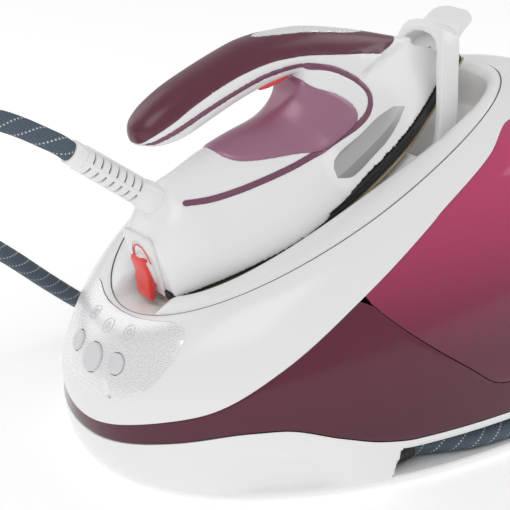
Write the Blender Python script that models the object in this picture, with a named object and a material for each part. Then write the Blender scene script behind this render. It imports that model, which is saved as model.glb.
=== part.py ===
"""Steam generator iron on its base, as separate solids. Metres in the scene, +Z up, front towards -Y.

The numbers below are millimetres. The iron is drawn in its own coordinates, (s, x, n): s runs up the
sloping soleplate from the heel to the tip, x is the object's X, and n stands square on the soleplate.
"""
import math

import bmesh
import bpy
from mathutils import Vector

MM = 0.001
GAP = 0.35
WALL = 2.5
STATIONS = 56

# Base outlines seen from above: centre Y, length to the front, length to the rear, half width and
# the exponents of the front and rear halves.
GROUND = dict(mid=28, front=235, rear=190, half=139, nose=2.15, tail=2.6)
BELT = dict(mid=28, front=247, rear=194, half=143, nose=2.15, tail=2.6)
RIM = dict(mid=-55.5, front=131, rear=169, half=90.5, nose=2.0, tail=1.8)
POCKET = dict(mid=-40, front=128, rear=138, half=62.5, nose=2.5, tail=2.3)
FLOOR_Z = 4
PLATE_Z = 7
BELT_Z = 50
RIM_TOP_Z = 218
RIM_DROP = 113
RIM_POWER = 1.4

# Edges of the base's shells, as heights over Y along the side.
WHITE_EDGE = [(-222, 36), (-217, 43), (-207, 50.5), (-177, 64), (-142, 87.5), (-88, 126),
              (-31, 160), (30, 188.5), (64, 203), (110, 207), (225, 207)]
PAN_EDGE = [(-222, 25), (-215, 32), (-192, 42.2), (-162, 50), (-145, 51), (-109, 41.5),
            (-84, 34.8), (-60, 32), (0, 32), (225, 32)]
TANK_EDGE = [(-88, 126), (-76, 113), (-52, 92.7), (-24, 72.5), (2, 55.5), (12, 54), (225, 54)]
TANK_FRONT_Y = -82

# Hose channel round the rear of the pan.
CHANNEL_Y = -66
CHANNEL_TOP_Z = 28
CHANNEL_DEPTH = 25

# Interior the tank leaves free.
BAY_HALF = 84
BAY_REAR_Y = 150

# Iron.
HEEL = Vector((0, -165, 108))
TILT = math.radians(23.9)
SOLE_HALF = [(0, 22), (22, 34), (55, 49), (90, 57), (120, 56.5), (154, 52), (191, 43), (224, 29),
             (248, 17), (270, 6.5), (283, 0.8)]
SOLE_T = 3.6
SKIRT_N = 8.5
BODY_TOP = [(0, 44), (12, 50), (48, 62), (87, 64), (122, 62), (150, 60), (200, 46), (240, 34), (264, 21)]
BODY_END_S = 262
PARTING = [(26, 103), (40, 105), (107, 104), (131, 98), (155, 87), (195, 65), (212, 55), (238, 43), (246, 38)]
GRIP_TOP = [(26, 106), (34, 112), (46, 116), (70, 118), (117, 116), (161, 102), (195, 81), (234, 50), (246, 40)]
GRIP_HALF = [(26, 7), (34, 13), (50, 17), (140, 17), (180, 15.5), (215, 11), (238, 5), (246, 2)]
UNDER = [(27, 99), (40, 92), (60, 88), (115, 86), (132, 85), (155, 78)]

# Hoop that locks the iron down.
HOOP_PIVOT = Vector((0, 36.6, 164.6))
HOOP_LEAN = math.radians(16.4)
HOOP_OUTER = [(41, -7), (41, 14), (40, 34), (36, 54), (29, 74), (25, 82), (19, 89.5), (9, 93), (0, 93.6)]
HOOP_INNER = [(36, -20), (36, 14), (35, 34), (31, 54), (24, 69), (19.5, 76), (14, 82), (7, 85.6), (0, 86.6)]
HOOP_DEPTH = 17

HOSE_R = 6.25

objects = {}


# ------------------------------------------------------------------ scene and shared helpers
def clear_scene():
    for item in list(bpy.data.objects):
        bpy.data.objects.remove(item, do_unlink=True)


def collection(name):
    made = bpy.data.collections.new(name)
    bpy.context.scene.collection.children.link(made)
    return made


clear_scene()
PARTS = collection("steam_generator_iron")
CUTTERS = collection("cutters")


def material(name, colour, rough=0.4, metal=0.0, alpha=1.0):
    found = bpy.data.materials.get(name)
    if found:
        return found
    made = bpy.data.materials.new(name)
    made.use_nodes = True
    shader = made.node_tree.nodes["Principled BSDF"]
    shader.inputs["Base Color"].default_value = (*colour, 1)
    shader.inputs["Roughness"].default_value = rough
    shader.inputs["Metallic"].default_value = metal
    shader.inputs["Alpha"].default_value = alpha
    made.diffuse_color = (*colour, alpha)
    return made


WHITE = material("white_gloss", (0.86, 0.86, 0.86), 0.25)
BURGUNDY = material("burgundy_gloss", (0.11, 0.02, 0.04), 0.25)
SKIRT_TINT = material("skirt_tint", (0.12, 0.02, 0.04), 0.15)
TANK_TINT = material("tank_tint", (0.35, 0.03, 0.12), 0.1, alpha=0.6)
MAUVE = material("mauve_satin", (0.35, 0.14, 0.25), 0.4)
SILVER = material("brushed_panel", (0.72, 0.73, 0.75), 0.3, 0.8)
GREY = material("grey_button", (0.5, 0.51, 0.53), 0.4)
RED = material("red_clear", (0.75, 0.02, 0.01), 0.2)
GOLD = material("sole_metal", (0.45, 0.36, 0.22), 0.3, 0.9)
CAST = material("cast_aluminium", (0.6, 0.6, 0.6), 0.5, 0.9)
BLACK = material("black_plastic", (0.02, 0.02, 0.02), 0.5)
RUBBER = material("rubber", (0.04, 0.04, 0.04), 0.8)
STEEL = material("steel", (0.65, 0.66, 0.68), 0.3, 1.0)
BRASS = material("brass", (0.7, 0.5, 0.2), 0.35, 1.0)
BOARD = material("board_green", (0.05, 0.25, 0.1), 0.6)
SLATE = material("slate_textile", (0.12, 0.17, 0.24), 0.9)


def keep(obj, look):
    """Files a finished solid under its name."""
    obj.data.materials.clear()
    obj.data.materials.append(look)
    if obj.name not in PARTS.objects:
        PARTS.objects.link(obj)
    for other in (bpy.context.scene.collection, CUTTERS):
        if obj.name in other.objects:
            other.objects.unlink(obj)
    obj.hide_render = False
    obj.display_type = "TEXTURED"
    objects[obj.name] = obj
    return obj


def cutter(obj):
    obj.hide_render = True
    obj.display_type = "WIRE"
    return obj


def solid(name, points, faces):
    """A closed mesh from points in millimetres, filed with the cutters until keep() takes it."""
    mesh = bpy.data.meshes.new(name)
    mesh.from_pydata([tuple(c * MM for c in p) for p in points], [], faces)
    bm = bmesh.new()
    bm.from_mesh(mesh)
    bmesh.ops.triangulate(bm, faces=bm.faces[:])
    bmesh.ops.recalc_face_normals(bm, faces=bm.faces[:])
    if bm.calc_volume(signed=True) < 0:
        bmesh.ops.reverse_faces(bm, faces=bm.faces[:])
    bm.to_mesh(mesh)
    bm.free()
    mesh.shade_smooth()
    mesh.set_sharp_from_angle(angle=math.radians(35))
    made = bpy.data.objects.new(name, mesh)
    CUTTERS.objects.link(made)
    return cutter(made)


def loft(name, rings, closed=False, strips=False):
    """Skin through rings of equal count. Open lofts are capped with fans, or with strips across X when
    the rings mirror in X; closed ones join end to start."""
    count = len(rings[0])
    points = [p for ring in rings for p in ring]
    faces = []
    spans = len(rings) if closed else len(rings) - 1
    for i in range(spans):
        j = (i + 1) % len(rings)
        for k in range(count):
            m = (k + 1) % count
            faces.append((i * count + k, i * count + m, j * count + m, j * count + k))
    for start, ring in ((0, rings[0]), ((len(rings) - 1) * count, rings[-1])):
        if closed:
            continue
        if strips:
            half = count // 2
            faces.append((start, start + 1, start + count - 1))
            faces += [(start + k, start + k + 1, start + count - k - 1, start + count - k) for k in range(1, half - 1)]
            faces.append((start + half - 1, start + half, start + half + 1))
            continue
        centre = len(points)
        points.append(tuple(sum(p[a] for p in ring) / count for a in range(3)))
        for k in range(count):
            faces.append((start + k, start + (k + 1) % count, centre))
    return solid(name, points, faces)


def boolean(obj, other, how, keep_other=False):
    """Applies an exact Boolean to obj."""
    step = obj.modifiers.new("cut", "BOOLEAN")
    step.operation = how
    step.solver = "EXACT"
    step.object = other
    bpy.context.view_layer.update()
    graph = bpy.context.evaluated_depsgraph_get()
    done = bpy.data.meshes.new_from_object(obj.evaluated_get(graph))
    obj.modifiers.clear()
    bm = bmesh.new()
    bm.from_mesh(done)
    bmesh.ops.triangulate(bm, faces=bm.faces[:])
    bmesh.ops.remove_doubles(bm, verts=bm.verts[:], dist=1e-7)
    bm.to_mesh(done)
    bm.free()
    old = obj.data
    obj.data = done
    bpy.data.meshes.remove(old)
    if not keep_other:
        bpy.data.objects.remove(other, do_unlink=True)
    return obj


def cut(obj, *others):
    for other in others:
        boolean(obj, other, "DIFFERENCE")
    return obj


def join(obj, *others):
    for other in others:
        boolean(obj, other, "UNION")
    return obj


def within(obj, other):
    return boolean(obj, other, "INTERSECT")


def adopt(name):
    """Names the primitive that was just added and files it with the cutters, its place in its mesh."""
    obj = bpy.context.object
    obj.name = name
    obj.data.name = name
    bpy.ops.object.transform_apply(location=True, rotation=True, scale=True)
    for holder in list(obj.users_collection):
        holder.objects.unlink(obj)
    CUTTERS.objects.link(obj)
    return cutter(obj)


def turn_to(axis):
    return Vector(axis).to_track_quat("Z", "Y").to_euler()


def box(name, low, high, turn=(0, 0, 0)):
    middle = [(a + b) / 2 * MM for a, b in zip(low, high)]
    bpy.ops.mesh.primitive_cube_add(size=1, location=middle, rotation=turn)
    bpy.context.object.scale = [(b - a) * MM for a, b in zip(low, high)]
    return adopt(name)


def iron_box(name, low, high):
    """A box given by its low and high corners in the iron's coordinates (s, x, n)."""
    corners = [on_iron(s, x, n) for s in (low[0], high[0]) for x in (low[1], high[1]) for n in (low[2], high[2])]
    faces = [(0, 1, 3, 2), (4, 6, 7, 5), (0, 4, 5, 1), (2, 3, 7, 6), (0, 2, 6, 4), (1, 5, 7, 3)]
    return solid(name, corners, faces)


def rod(name, start, end, radius, sides=20, end_radius=None):
    a, b = Vector(start) * MM, Vector(end) * MM
    bpy.ops.mesh.primitive_cone_add(
        vertices=sides, radius1=radius * MM, radius2=(radius if end_radius is None else end_radius) * MM,
        depth=(b - a).length, location=(a + b) / 2, rotation=turn_to(b - a))
    made = adopt(name)
    made.data.shade_smooth()
    made.data.set_sharp_from_angle(angle=math.radians(35))
    return made


def turned(name, start, axis, profile, sides=24):
    """A turned solid: profile is (distance along axis, radius), closed back along the axis."""
    along = Vector(axis).normalized()
    side = along.orthogonal().normalized()
    other = along.cross(side)
    rings = []
    for distance, radius in profile:
        centre = Vector(start) + along * distance
        rings.append([tuple(centre + (side * math.cos(a) + other * math.sin(a)) * radius)
                      for a in (2 * math.pi * k / sides for k in range(sides))])
    return loft(name, rings)


def tube(name, points, radius, resolution=2):
    """A round tube along points, in millimetres, with closed ends."""
    curve = bpy.data.curves.new(name, "CURVE")
    curve.dimensions = "3D"
    curve.bevel_depth = radius * MM
    curve.bevel_resolution = resolution
    curve.use_fill_caps = True
    line = curve.splines.new("POLY")
    line.points.add(len(points) - 1)
    for at, p in zip(line.points, points):
        at.co = (p[0] * MM, p[1] * MM, p[2] * MM, 1)
    guide = bpy.data.objects.new(name + "_line", curve)
    CUTTERS.objects.link(guide)
    bpy.context.view_layer.update()
    graph = bpy.context.evaluated_depsgraph_get()
    mesh = bpy.data.meshes.new_from_object(guide.evaluated_get(graph))
    bpy.data.objects.remove(guide, do_unlink=True)
    bm = bmesh.new()
    bm.from_mesh(mesh)
    bmesh.ops.remove_doubles(bm, verts=bm.verts[:], dist=1e-5)
    bmesh.ops.recalc_face_normals(bm, faces=bm.faces[:])
    bm.to_mesh(mesh)
    bm.free()
    mesh.name = name
    made = bpy.data.objects.new(name, mesh)
    CUTTERS.objects.link(made)
    return cutter(made)


def plate(name, outline, thickness, place):
    """A flat outline, (u, v) points, given thickness w; place(u, v, w) puts it in the model."""
    count = len(outline)
    points = [place(u, v, w) for w in (-thickness / 2, thickness / 2) for u, v in outline]
    faces = [(k, (k + 1) % count, count + (k + 1) % count, count + k) for k in range(count)]
    faces += [tuple(range(count)), tuple(range(count, 2 * count))]
    return solid(name, points, faces)


def hermite(table, at):
    """A smooth value through (position, value) pairs, level past both ends."""
    if at <= table[0][0]:
        return table[0][1]
    if at >= table[-1][0]:
        return table[-1][1]
    slopes = [(b[1] - a[1]) / (b[0] - a[0]) for a, b in zip(table, table[1:])]
    tangents = [slopes[0]] + [0 if p * q <= 0 else 2 * p * q / (p + q) for p, q in zip(slopes, slopes[1:])] + [slopes[-1]]
    for i, (a, b) in enumerate(zip(table, table[1:])):
        if at <= b[0]:
            h = b[0] - a[0]
            u = (at - a[0]) / h
            return (a[1] * (1 + 2 * u) * (1 - u) ** 2 + b[1] * u * u * (3 - 2 * u)
                    + h * (tangents[i] * u * (1 - u) ** 2 - tangents[i + 1] * u * u * (1 - u)))
    return table[-1][1]


# ------------------------------------------------------------------ skin of the base
def outline(form, t, inset=0.0):
    """A point of an outline: t is 0 at the front, a quarter turn at +X and half a turn at the rear."""
    c, s = math.cos(t), math.sin(t)
    reach, power = (form["front"], form["nose"]) if c > 0 else (form["rear"], form["tail"])
    x = (form["half"] - inset) * math.copysign(abs(s) ** (2 / power), s)
    y = form["mid"] - (reach - inset) * math.copysign(abs(c) ** (2 / power), c)
    return x, y


def rim_z(y):
    reach = RIM["front"] + RIM["rear"]
    back = RIM["mid"] + RIM["rear"]
    return RIM_TOP_Z - RIM_DROP * (max(0, back - y) / reach) ** RIM_POWER


def skin(t, v, inset=0.0):
    """A point of the base's outer surface: v runs from -1 at the ground, by 0 at the belt, to 1 at the rim."""
    bx, by = outline(BELT, t, inset)
    if v < 0:
        gx, gy = outline(GROUND, t, inset)
        w = 1 - math.sqrt(max(0, 1 - v * v))
        return bx + (gx - bx) * w, by + (gy - by) * w, BELT_Z + (BELT_Z - FLOOR_Z) * v
    rx, ry = outline(RIM, t)
    c = math.cos(t)
    power = 2.1 - 0.5 * max(0, c) ** 2 + 0.7 * max(0, -c) ** 2
    across = math.cos(v * math.pi / 2) ** (2 / power) if v < 1 else 0
    up = math.sin(v * math.pi / 2) ** (2 / power) if v > 0 else 0
    top = rim_z(outline(RIM, t)[1]) - 0.8 * inset
    return rx + (bx - rx) * across, ry + (by - ry) * across, BELT_Z + (top - BELT_Z) * up


def skirt_top(y):
    return hermite(TANK_EDGE, y) if y > TANK_EDGE[0][0] else hermite(WHITE_EDGE, y)


def v_where(t, height, inset=0.0):
    """The v where the skin at t crosses the height given by a function of y."""
    low, high = -1.0, 1.0
    for _ in range(30):
        mid = (low + high) / 2
        _, y, z = skin(t, mid, inset)
        if z < height(y):
            low = mid
        else:
            high = mid
    return (low + high) / 2


def angles(count=STATIONS):
    return [2 * math.pi * k / count for k in range(count)]


def band(name, low, high, levels, wall=WALL):
    """A shell all round the base between two edges, given as heights over y; no high edge means the rim."""
    rings = []
    for t in angles():
        ring = []
        for inset in (0.0, wall):
            a = v_where(t, low, inset)
            b = v_where(t, high, inset) if high else 1.0
            row = [skin(t, a + (b - a) * k / levels, inset) for k in range(levels + 1)]
            ring += row if inset == 0.0 else row[::-1]
        rings.append(ring)
    return loft(name, rings, closed=True)


def tray(name, top):
    """The pan: floor, hose channel all round, its roof, and the skin above it up to an edge."""
    def flat(form, inset, z):
        return [(*outline(form, t, inset), z) for t in angles()]

    def on_skin(height, inset=0.0):
        v = (height - BELT_Z) / (BELT_Z - FLOOR_Z)
        return [skin(t, v, inset) for t in angles()]

    rings = [flat(GROUND, 0.0, FLOOR_Z), on_skin(PLATE_Z), flat(GROUND, CHANNEL_DEPTH, PLATE_Z),
             flat(GROUND, CHANNEL_DEPTH, CHANNEL_TOP_Z), on_skin(CHANNEL_TOP_Z)]
    low = (CHANNEL_TOP_Z - BELT_Z) / (BELT_Z - FLOOR_Z)
    for share in (0.5, 1.0):
        rings.append([skin(t, low + (v_where(t, top) - low) * share) for t in angles()])
    rings.append([skin(t, v_where(t, top, WALL), WALL) for t in angles()])
    rings.append(on_skin(CHANNEL_TOP_Z + WALL, WALL))
    rings.append(flat(GROUND, CHANNEL_DEPTH + WALL, CHANNEL_TOP_Z + WALL))
    rings.append(flat(GROUND, CHANNEL_DEPTH + WALL, PLATE_Z))
    return loft(name, rings)


def prism(name, form, inset, low, high):
    """Upright block on an outline."""
    return loft(name, [[(*outline(form, t, inset), z) for t in angles()] for z in (low, high)])


def skin_patch(name, rim, middle, out, depth, scale=1.0, steps=5):
    """A patch of the skin inside a rim of (t, v) points, from out above it to depth below it."""
    def at(share, point, inset):
        return skin(middle[0] + (point[0] - middle[0]) * share, middle[1] + (point[1] - middle[1]) * share, inset)
    shares = [scale * (k + 1) / steps for k in range(steps)]
    rings = [[at(share, point, -out) for point in rim] for share in shares]
    rings += [[at(share, point, depth) for point in rim] for share in reversed(shares)]
    return loft(name, rings)


def rounded(points, count):
    """A closed smooth line of (t, v) points through the given ones."""
    line = smooth_line([(a * 100, b * 100, 0) for a, b in points + points[:3]], 8 * (len(points) + 2))
    first = 8
    ring = line[first:first + 8 * len(points)]
    step = len(ring) / count
    return [(ring[int(k * step)][0] / 100, ring[int(k * step)][1] / 100) for k in range(count)]


def squircle(half_t, half_v, middle, power=3.5, count=28):
    ring = []
    for k in range(count):
        a = 2 * math.pi * k / count
        c, w = math.cos(a), math.sin(a)
        ring.append((middle[0] + half_t * math.copysign(abs(c) ** (2 / power), c),
                     middle[1] + half_v * math.copysign(abs(w) ** (2 / power), w)))
    return ring


def skin_normal(t, v):
    here = Vector(skin(t, v))
    du = Vector(skin(t + 0.01, v)) - Vector(skin(t - 0.01, v))
    dv = Vector(skin(t, v + 0.01)) - Vector(skin(t, v - 0.01))
    return here, du.cross(dv).normalized()


# ------------------------------------------------------------------ base casings
def make_base_pan():
    pan = tray("base_pan", lambda y: hermite(PAN_EDGE, y))
    front = prism("front_wall", GROUND, 0.6, PLATE_Z - 1.2, CHANNEL_TOP_Z + 1.1)
    cut(front, prism("front_room", GROUND, 3.4, -5, 60))
    within(front, box("front_part", (-200, -260, -9), (200, CHANNEL_Y - 0.4, 80)))
    join(pan, front)
    for side in (-1, 1):
        near, far = sorted((side * 103.5, side * 131.2))
        join(pan, box("end_wall", (near, CHANNEL_Y - WALL, PLATE_Z - 1.6), (far, CHANNEL_Y, CHANNEL_TOP_Z + 1.4)))
    cut(pan, box("vent", (-30, -190, 12), (30, -170, 22)), box("pipe_gate", (84, -102, 9), (106, -86, 24)))
    return keep(pan, WHITE)


def make_skirt():
    skirt = band("lower_skirt", lambda y: hermite(PAN_EDGE, y) + GAP, lambda y: skirt_top(y) - GAP, 4)
    cut(skirt, rod("inlet_hole", (-78, 190, 44), (-78, 230, 44), 8 + GAP))
    return keep(skirt, SKIRT_TINT)


# Right half of the control panel's outline on the skin, bottom first.
PANEL_HALF = [(0.0, 0.146), (0.172, 0.19), (0.322, 0.28), (0.422, 0.449), (0.473, 0.573), (0.498, 0.674),
              (0.475, 0.775), (0.40, 0.84), (0.22, 0.87), (0.0, 0.895)]
PANEL_RIM = PANEL_HALF + [(-t, v) for t, v in reversed(PANEL_HALF[1:-1])]
PANEL_MIDDLE = (0.0, 0.55)
BUTTONS = {"power_button": (-0.155, 0.43, 6.7), "ok_button": (0.0, 0.404, 9.3), "steam_button": (0.155, 0.43, 6.7)}


def make_upper_shell():
    shell = band("upper_shell", lambda y: hermite(WHITE_EDGE, y) + GAP, None, 7)
    cut(shell, skin_patch("panel_hole", PANEL_RIM, PANEL_MIDDLE, 6, 7, 1.02))
    return keep(shell, WHITE)


def make_panel_and_buttons():
    panel = skin_patch("control_panel", PANEL_RIM, PANEL_MIDDLE, -0.3, 2.4)
    for name, (t, v, radius) in BUTTONS.items():
        here, normal = skin_normal(t, v)
        cut(panel, rod("hole", here - normal * 12, here + normal * 6, radius + GAP))
        keep(rod(name, here - normal * 5.5, here + normal * 0.9, radius, 24), GREY)
    keep(panel, SILVER)
    keep(skin_patch("button_board", PANEL_RIM, PANEL_MIDDLE, -8.2, 9.8, 0.8), BOARD)


def pocket_floor(y):
    """Height of the pocket's floor: parallel to the soleplate, then stepping down to the lock's well."""
    sloping = HEEL.z + (y - HEEL.y) * math.tan(TILT) - 4 / math.cos(TILT)
    well = 172 + (y - 36) * 0.28
    return sloping if y < 14 else min(sloping, well)


def make_deck():
    """Rim, pocket wall and pocket floor in one moulding."""
    def ring(form, inset, height):
        return [(*outline(form, t, inset), height(outline(form, t, inset)[1])) for t in angles()]

    def between(share, lift):
        made = []
        for t in angles():
            ax, ay = outline(RIM, t, GAP)
            bx, by = outline(POCKET, t)
            x, y = ax + (bx - ax) * share, ay + (by - ay) * share
            made.append((x, y, rim_z(y) + lift))
        return made

    rings = [ring(POCKET, -WALL, lambda y: pocket_floor(y) - WALL), ring(POCKET, -WALL - 1, lambda y: rim_z(y) - 5),
             between(0.12, -WALL - 1), between(0.0, -WALL), between(0.0, 0.0), between(0.2, 1.6),
             between(0.45, 2.4), between(0.75, 1.8), between(0.95, 0.2), between(1.0, -1.2), ring(POCKET, 0.6, pocket_floor)]
    deck = loft("deck_plate", rings, strips=True)
    cut(deck, box("heel_notch", (-28, -200, 105.3), (28, -162.5, 140)))
    step = prism("notch_floor", RIM, 3, 101.8, 105.0)
    join(deck, within(step, box("notch_reach", (-30, -210, 90), (30, -160, 120))))
    for side in (-1, 1):
        near, far = sorted((side * 34.2, side * 42.8))
        cut(deck, box("hoop_slot", (near, 24, 150), (far, 70, 230)))
    return keep(deck, WHITE)


LID_MIDDLE = (math.pi, 0.5)
LID_RIM = squircle(0.26, 0.11, LID_MIDDLE)


def make_tank():
    def slab(name, grow):
        top = lambda y: hermite(WHITE_EDGE, y) - GAP - grow
        low = lambda y: min(skirt_top(y) + GAP * (1 if y > 10 else 7) + grow, top(y) - 3)
        ends = [(v_where(t, low, grow), v_where(t, top, grow)) for t in angles()]
        rings = [[skin(t, a + (b - a) * k / 6, grow) for t, (a, b) in zip(angles(), ends)] for k in range(7)]
        made = loft(name, rings, strips=True)
        cut(made, box("tank_front", (-200, -260, -10), (200, TANK_FRONT_Y + grow, 300)))
        bay = box("tank_bay", (-BAY_HALF - grow, -300, -20), (BAY_HALF + grow, BAY_REAR_Y + grow, 310))
        if not grow:
            levels = [-1 + k / 6 for k in range(13)]
            within(bay, loft("under_skin", [[skin(t, v, WALL + 0.1) for t in angles()] for v in levels], strips=True))
        cut(made, bay)
        return made

    tank = slab("water_tank", 0.0)
    cut(tank, slab("tank_room", WALL))
    cut(tank, skin_patch("lid_hole", LID_RIM, LID_MIDDLE, 6, 7, 1.03))
    cut(tank, rod("valve_hole", (0, BAY_REAR_Y - 10, 62), (0, BAY_REAR_Y + 12, 62), 7.6 + GAP))
    keep(tank, TANK_TINT)
    keep(skin_patch("tank_lid", LID_RIM, LID_MIDDLE, -0.3, 2.4), TANK_TINT)
    valve = turned("tank_valve", (0, BAY_REAR_Y + 6, 62), (0, -1, 0),
                   [(0, 5), (0.1, 7.6), (5, 7.6), (5.5, 6), (17, 6), (19, 4.5)])
    keep(valve, BLACK)
    seal = rod("valve_seal", (0, BAY_REAR_Y - 1, 62), (0, BAY_REAR_Y - 3.4, 62), 9, 24)
    cut(seal, rod("seal_hole", (0, BAY_REAR_Y + 9, 62), (0, BAY_REAR_Y - 19, 62), 6 + GAP, 24))
    keep(seal, RUBBER)


# ------------------------------------------------------------------ inside the base
def make_boiler():
    body = turned("boiler", (0, 62, 16), (0, 0, 1), [(0, 44), (5, 50), (58, 50), (66, 43), (70, 20)], 36)
    keep(body, CAST)
    lid = turned("boiler_plug", (0, 62, 86.4), (0, 0, 1), [(0, 13), (10, 13), (10.1, 9), (16, 9)], 6)
    keep(lid, BRASS)
    strap = turned("boiler_heater", (0, 62, 34), (0, 0, 1), [(0, 57), (14, 57)], 36)
    cut(strap, rod("strap_hole", (0, 62, 20), (0, 62, 60), 50 + GAP, 36))
    keep(strap, STEEL)
    stand = turned("boiler_stand", (0, 62, PLATE_Z + GAP), (0, 0, 1), [(0, 40), (16 - PLATE_Z - 2 * GAP, 40)], 24)
    keep(stand, BLACK)


def make_pump():
    body = rod("pump", (-52, -78, 30), (-52, -22, 30), 17, 24)
    join(body, rod("pump_inlet", (-52, -24, 30), (-52, -8, 30), 5, 16))
    join(body, box("pump_foot", (-66, -66, PLATE_Z + GAP), (-38, -34, 22)))
    keep(body, BLACK)
    coil = turned("pump_coil", (-52, -66, 30), (0, 1, 0), [(0, 23), (26, 23)], 24)
    cut(coil, rod("coil_hole", (-52, -90, 30), (-52, -10, 30), 17 + GAP, 24))
    cut(coil, box("coil_under", (-90, -90, -5), (-10, 0, PLATE_Z + GAP)))
    cut(coil, box("coil_foot", (-66.5, -67, -5), (-37.5, -33, 22.5)))
    keep(coil, BRASS)


def make_valve_and_pipes():
    body = box("solenoid_valve", (34, -62, 30), (66, -28, 58))
    join(body, rod("solenoid_stem", (50, -45, 50), (50, -45, 76), 9, 20))
    join(body, box("solenoid_foot", (42, -56, PLATE_Z + GAP), (58, -34, 31)))
    keep(body, STEEL)
    keep(tube("steam_pipe", smooth_line([(50, -27.4, 44), (50, -16, 45), (49, -4, 52), (45, 8, 64), (38, 22, 88),
                                         (32, 42, 98), (24, 52, 100), (16, 58, 100.3), (9.6, 61, 100.3)], 20), 3), BRASS)
    keep(tube("outlet_pipe", smooth_line([(66.5, -45, 40), (78, -46, 38), (90, -52, 28), (90, -80, 18),
                                          (91, -93, 15.5), (100, -95, 15), (110, -89, 15), (115.5, -80, 15), (116.5, -70.2, 14.9)], 22), 3), BRASS)
    keep(tube("inlet_tube", smooth_line([(-52, -7.5, 30), (-54, 4, 32), (-66, 24, 44), (-70, 66, 56), (-58, 98, 61),
                                         (-26, 113, 62), (-6, 117, 62), (0, 128.4, 62)], 24), 3), RUBBER)
    socket = rod("valve_socket", (0, 129.4, 62), (0, 142.8, 62), 12, 24)
    cut(socket, rod("socket_bore", (0, 131, 62), (0, 160, 62), 6 + GAP, 24))
    join(socket, box("socket_post", (-6, 131.5, PLATE_Z + GAP), (6, 142, 52)))
    keep(socket, WHITE)


def make_board():
    keep(box("control_board", (-58, -150, 22), (40, -146.4, 76)), BOARD)
    keep(box("board_block", (-40, -145.9, 30), (-10, -128, 56)), BLACK)
    keep(box("transformer", (-2, -145.9, 30), (26, -120, 58)), STEEL)


def make_fittings():
    gland = turned("hose_gland", (116.5, -69.6, 14.9), (0, 1, 0), [(0, 4.5), (0.2, 7.4), (10, 7.4), (17, 7.0)], 20)
    keep(gland, BLACK)
    pan = objects["base_pan"]
    cut(pan, rod("gland_hole", (116.5, CHANNEL_Y - 5, 14.9), (116.5, CHANNEL_Y + 2, 14.9), 7.4 + GAP, 20))
    for name, x, y in (("foot_front_right", 62, -150), ("foot_front_left", -62, -150),
                       ("foot_rear_right", 88, 150), ("foot_rear_left", -88, 150)):
        keep(turned(name, (x, y, 0), (0, 0, 1), [(0, 8.5), (0.8, 9.5), (FLOOR_Z - GAP, 9.5)], 20), RUBBER)
    for name, x, y in (("screw_front_right", 68, -112), ("screw_front_left", -68, -112),
                       ("screw_rear_right", 98, 96), ("screw_rear_left", -98, 96)):
        keep(turned(name, (x, y, FLOOR_Z + 0.6), (0, 0, 1), [(0, 3.6), (2.2, 3.6), (2.3, 1.7), (16, 1.7), (18, 0.8)], 12), STEEL)
        cut(pan, rod("screw_hole", (x, y, 0), (x, y, 12), 1.7 + GAP, 12),
            rod("screw_sink", (x, y, 0), (x, y, FLOOR_Z + 0.6 + 2.2 + GAP), 3.6 + GAP, 12))
    gland_plate = turned("cord_inlet", (-78, 212, 44), (0, -1, 0), [(0, 3), (0.1, 8), (2, 8), (2.1, 6.2), (12, 6.2)], 20)
    keep(gland_plate, BLACK)


# ------------------------------------------------------------------ iron
def on_iron(s, x, n):
    """A point given in the iron's coordinates."""
    c, k = math.cos(TILT), math.sin(TILT)
    return (x, HEEL.y + s * c - n * k, HEEL.z + s * k + n * c)


def sole_ring(n, inset=0.0, start=0.0, count=26):
    """The soleplate's outline at height n, heel first."""
    end = SOLE_HALF[-1][0] - inset
    right = []
    for k in range(count + 1):
        s = start + inset + (end - start - inset) * (0.5 - 0.5 * math.cos(math.pi * k / count))
        right.append((s, max(0.4, hermite(SOLE_HALF, s) - inset)))
    return ([on_iron(s, w, n) for s, w in right] + [on_iron(s, -w, n) for s, w in reversed(right)])


def body_section(s, grow=0.0, low=SKIRT_N, sides=18, power=2.3):
    """Cross-section of the iron's lower body: flat below, domed above."""
    half = max(1.2, hermite(SOLE_HALF, s) - 2.2) + grow
    top = hermite(BODY_TOP, s) + grow
    ring = []
    for k in range(sides + 1):
        a = math.pi * k / sides
        c, v = math.cos(a), math.sin(a)
        ring.append(on_iron(s, half * math.copysign(abs(c) ** (2 / power), c), low + (top - low) * v ** (2 / power)))
    for k in range(1, 4):
        ring.append(on_iron(s, -half + 2 * half * k / 4, low))
    return ring


def iron_shell(name, grow=0.0, low=SKIRT_N, start=3.4, end=BODY_END_S):
    stations = [start, 14, 30, 50, 75, 100, 125, 150, 175, 198, 218, 235, 250, end]
    return loft(name, [body_section(s, grow, low) for s in stations])


def neck(name, grow=0.0):
    """The column in front of the finger gap that carries the handle."""
    levels = [(40, 132, 240, 31), (52, 141, 224, 25), (64, 146, 208, 20), (76, 145, 190, 17.5),
              (86, 135, 172, 17), (96, 122, 158, 17), (106, 116, 148, 17)]
    rings = []
    for n, a, b, half in levels:
        mid, reach = (a + b) / 2, (b - a) / 2 + grow
        ring = []
        for k in range(24):
            t = 2 * math.pi * k / 24
            c, v = math.cos(t), math.sin(t)
            ring.append(on_iron(mid + reach * math.copysign(abs(c) ** 0.8, c),
                                (half + grow) * math.copysign(abs(v) ** 0.8, v), n))
        rings.append(ring)
    return loft(name, rings)


def handle_section(s, low, high, half, power=2.4, sides=10):
    """An arch from one side of the parting plane to the other, low side flat; high may be under low."""
    ring = []
    for k in range(sides + 1):
        a = math.pi * k / sides
        c, v = math.cos(a), math.sin(a)
        ring.append(on_iron(s, half * math.copysign(abs(c) ** (2 / power), c), low + (high - low) * v ** (2 / power)))
    for k in range(1, 3):
        ring.append(on_iron(s, -half + 2 * half * k / 3, low))
    return ring


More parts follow.
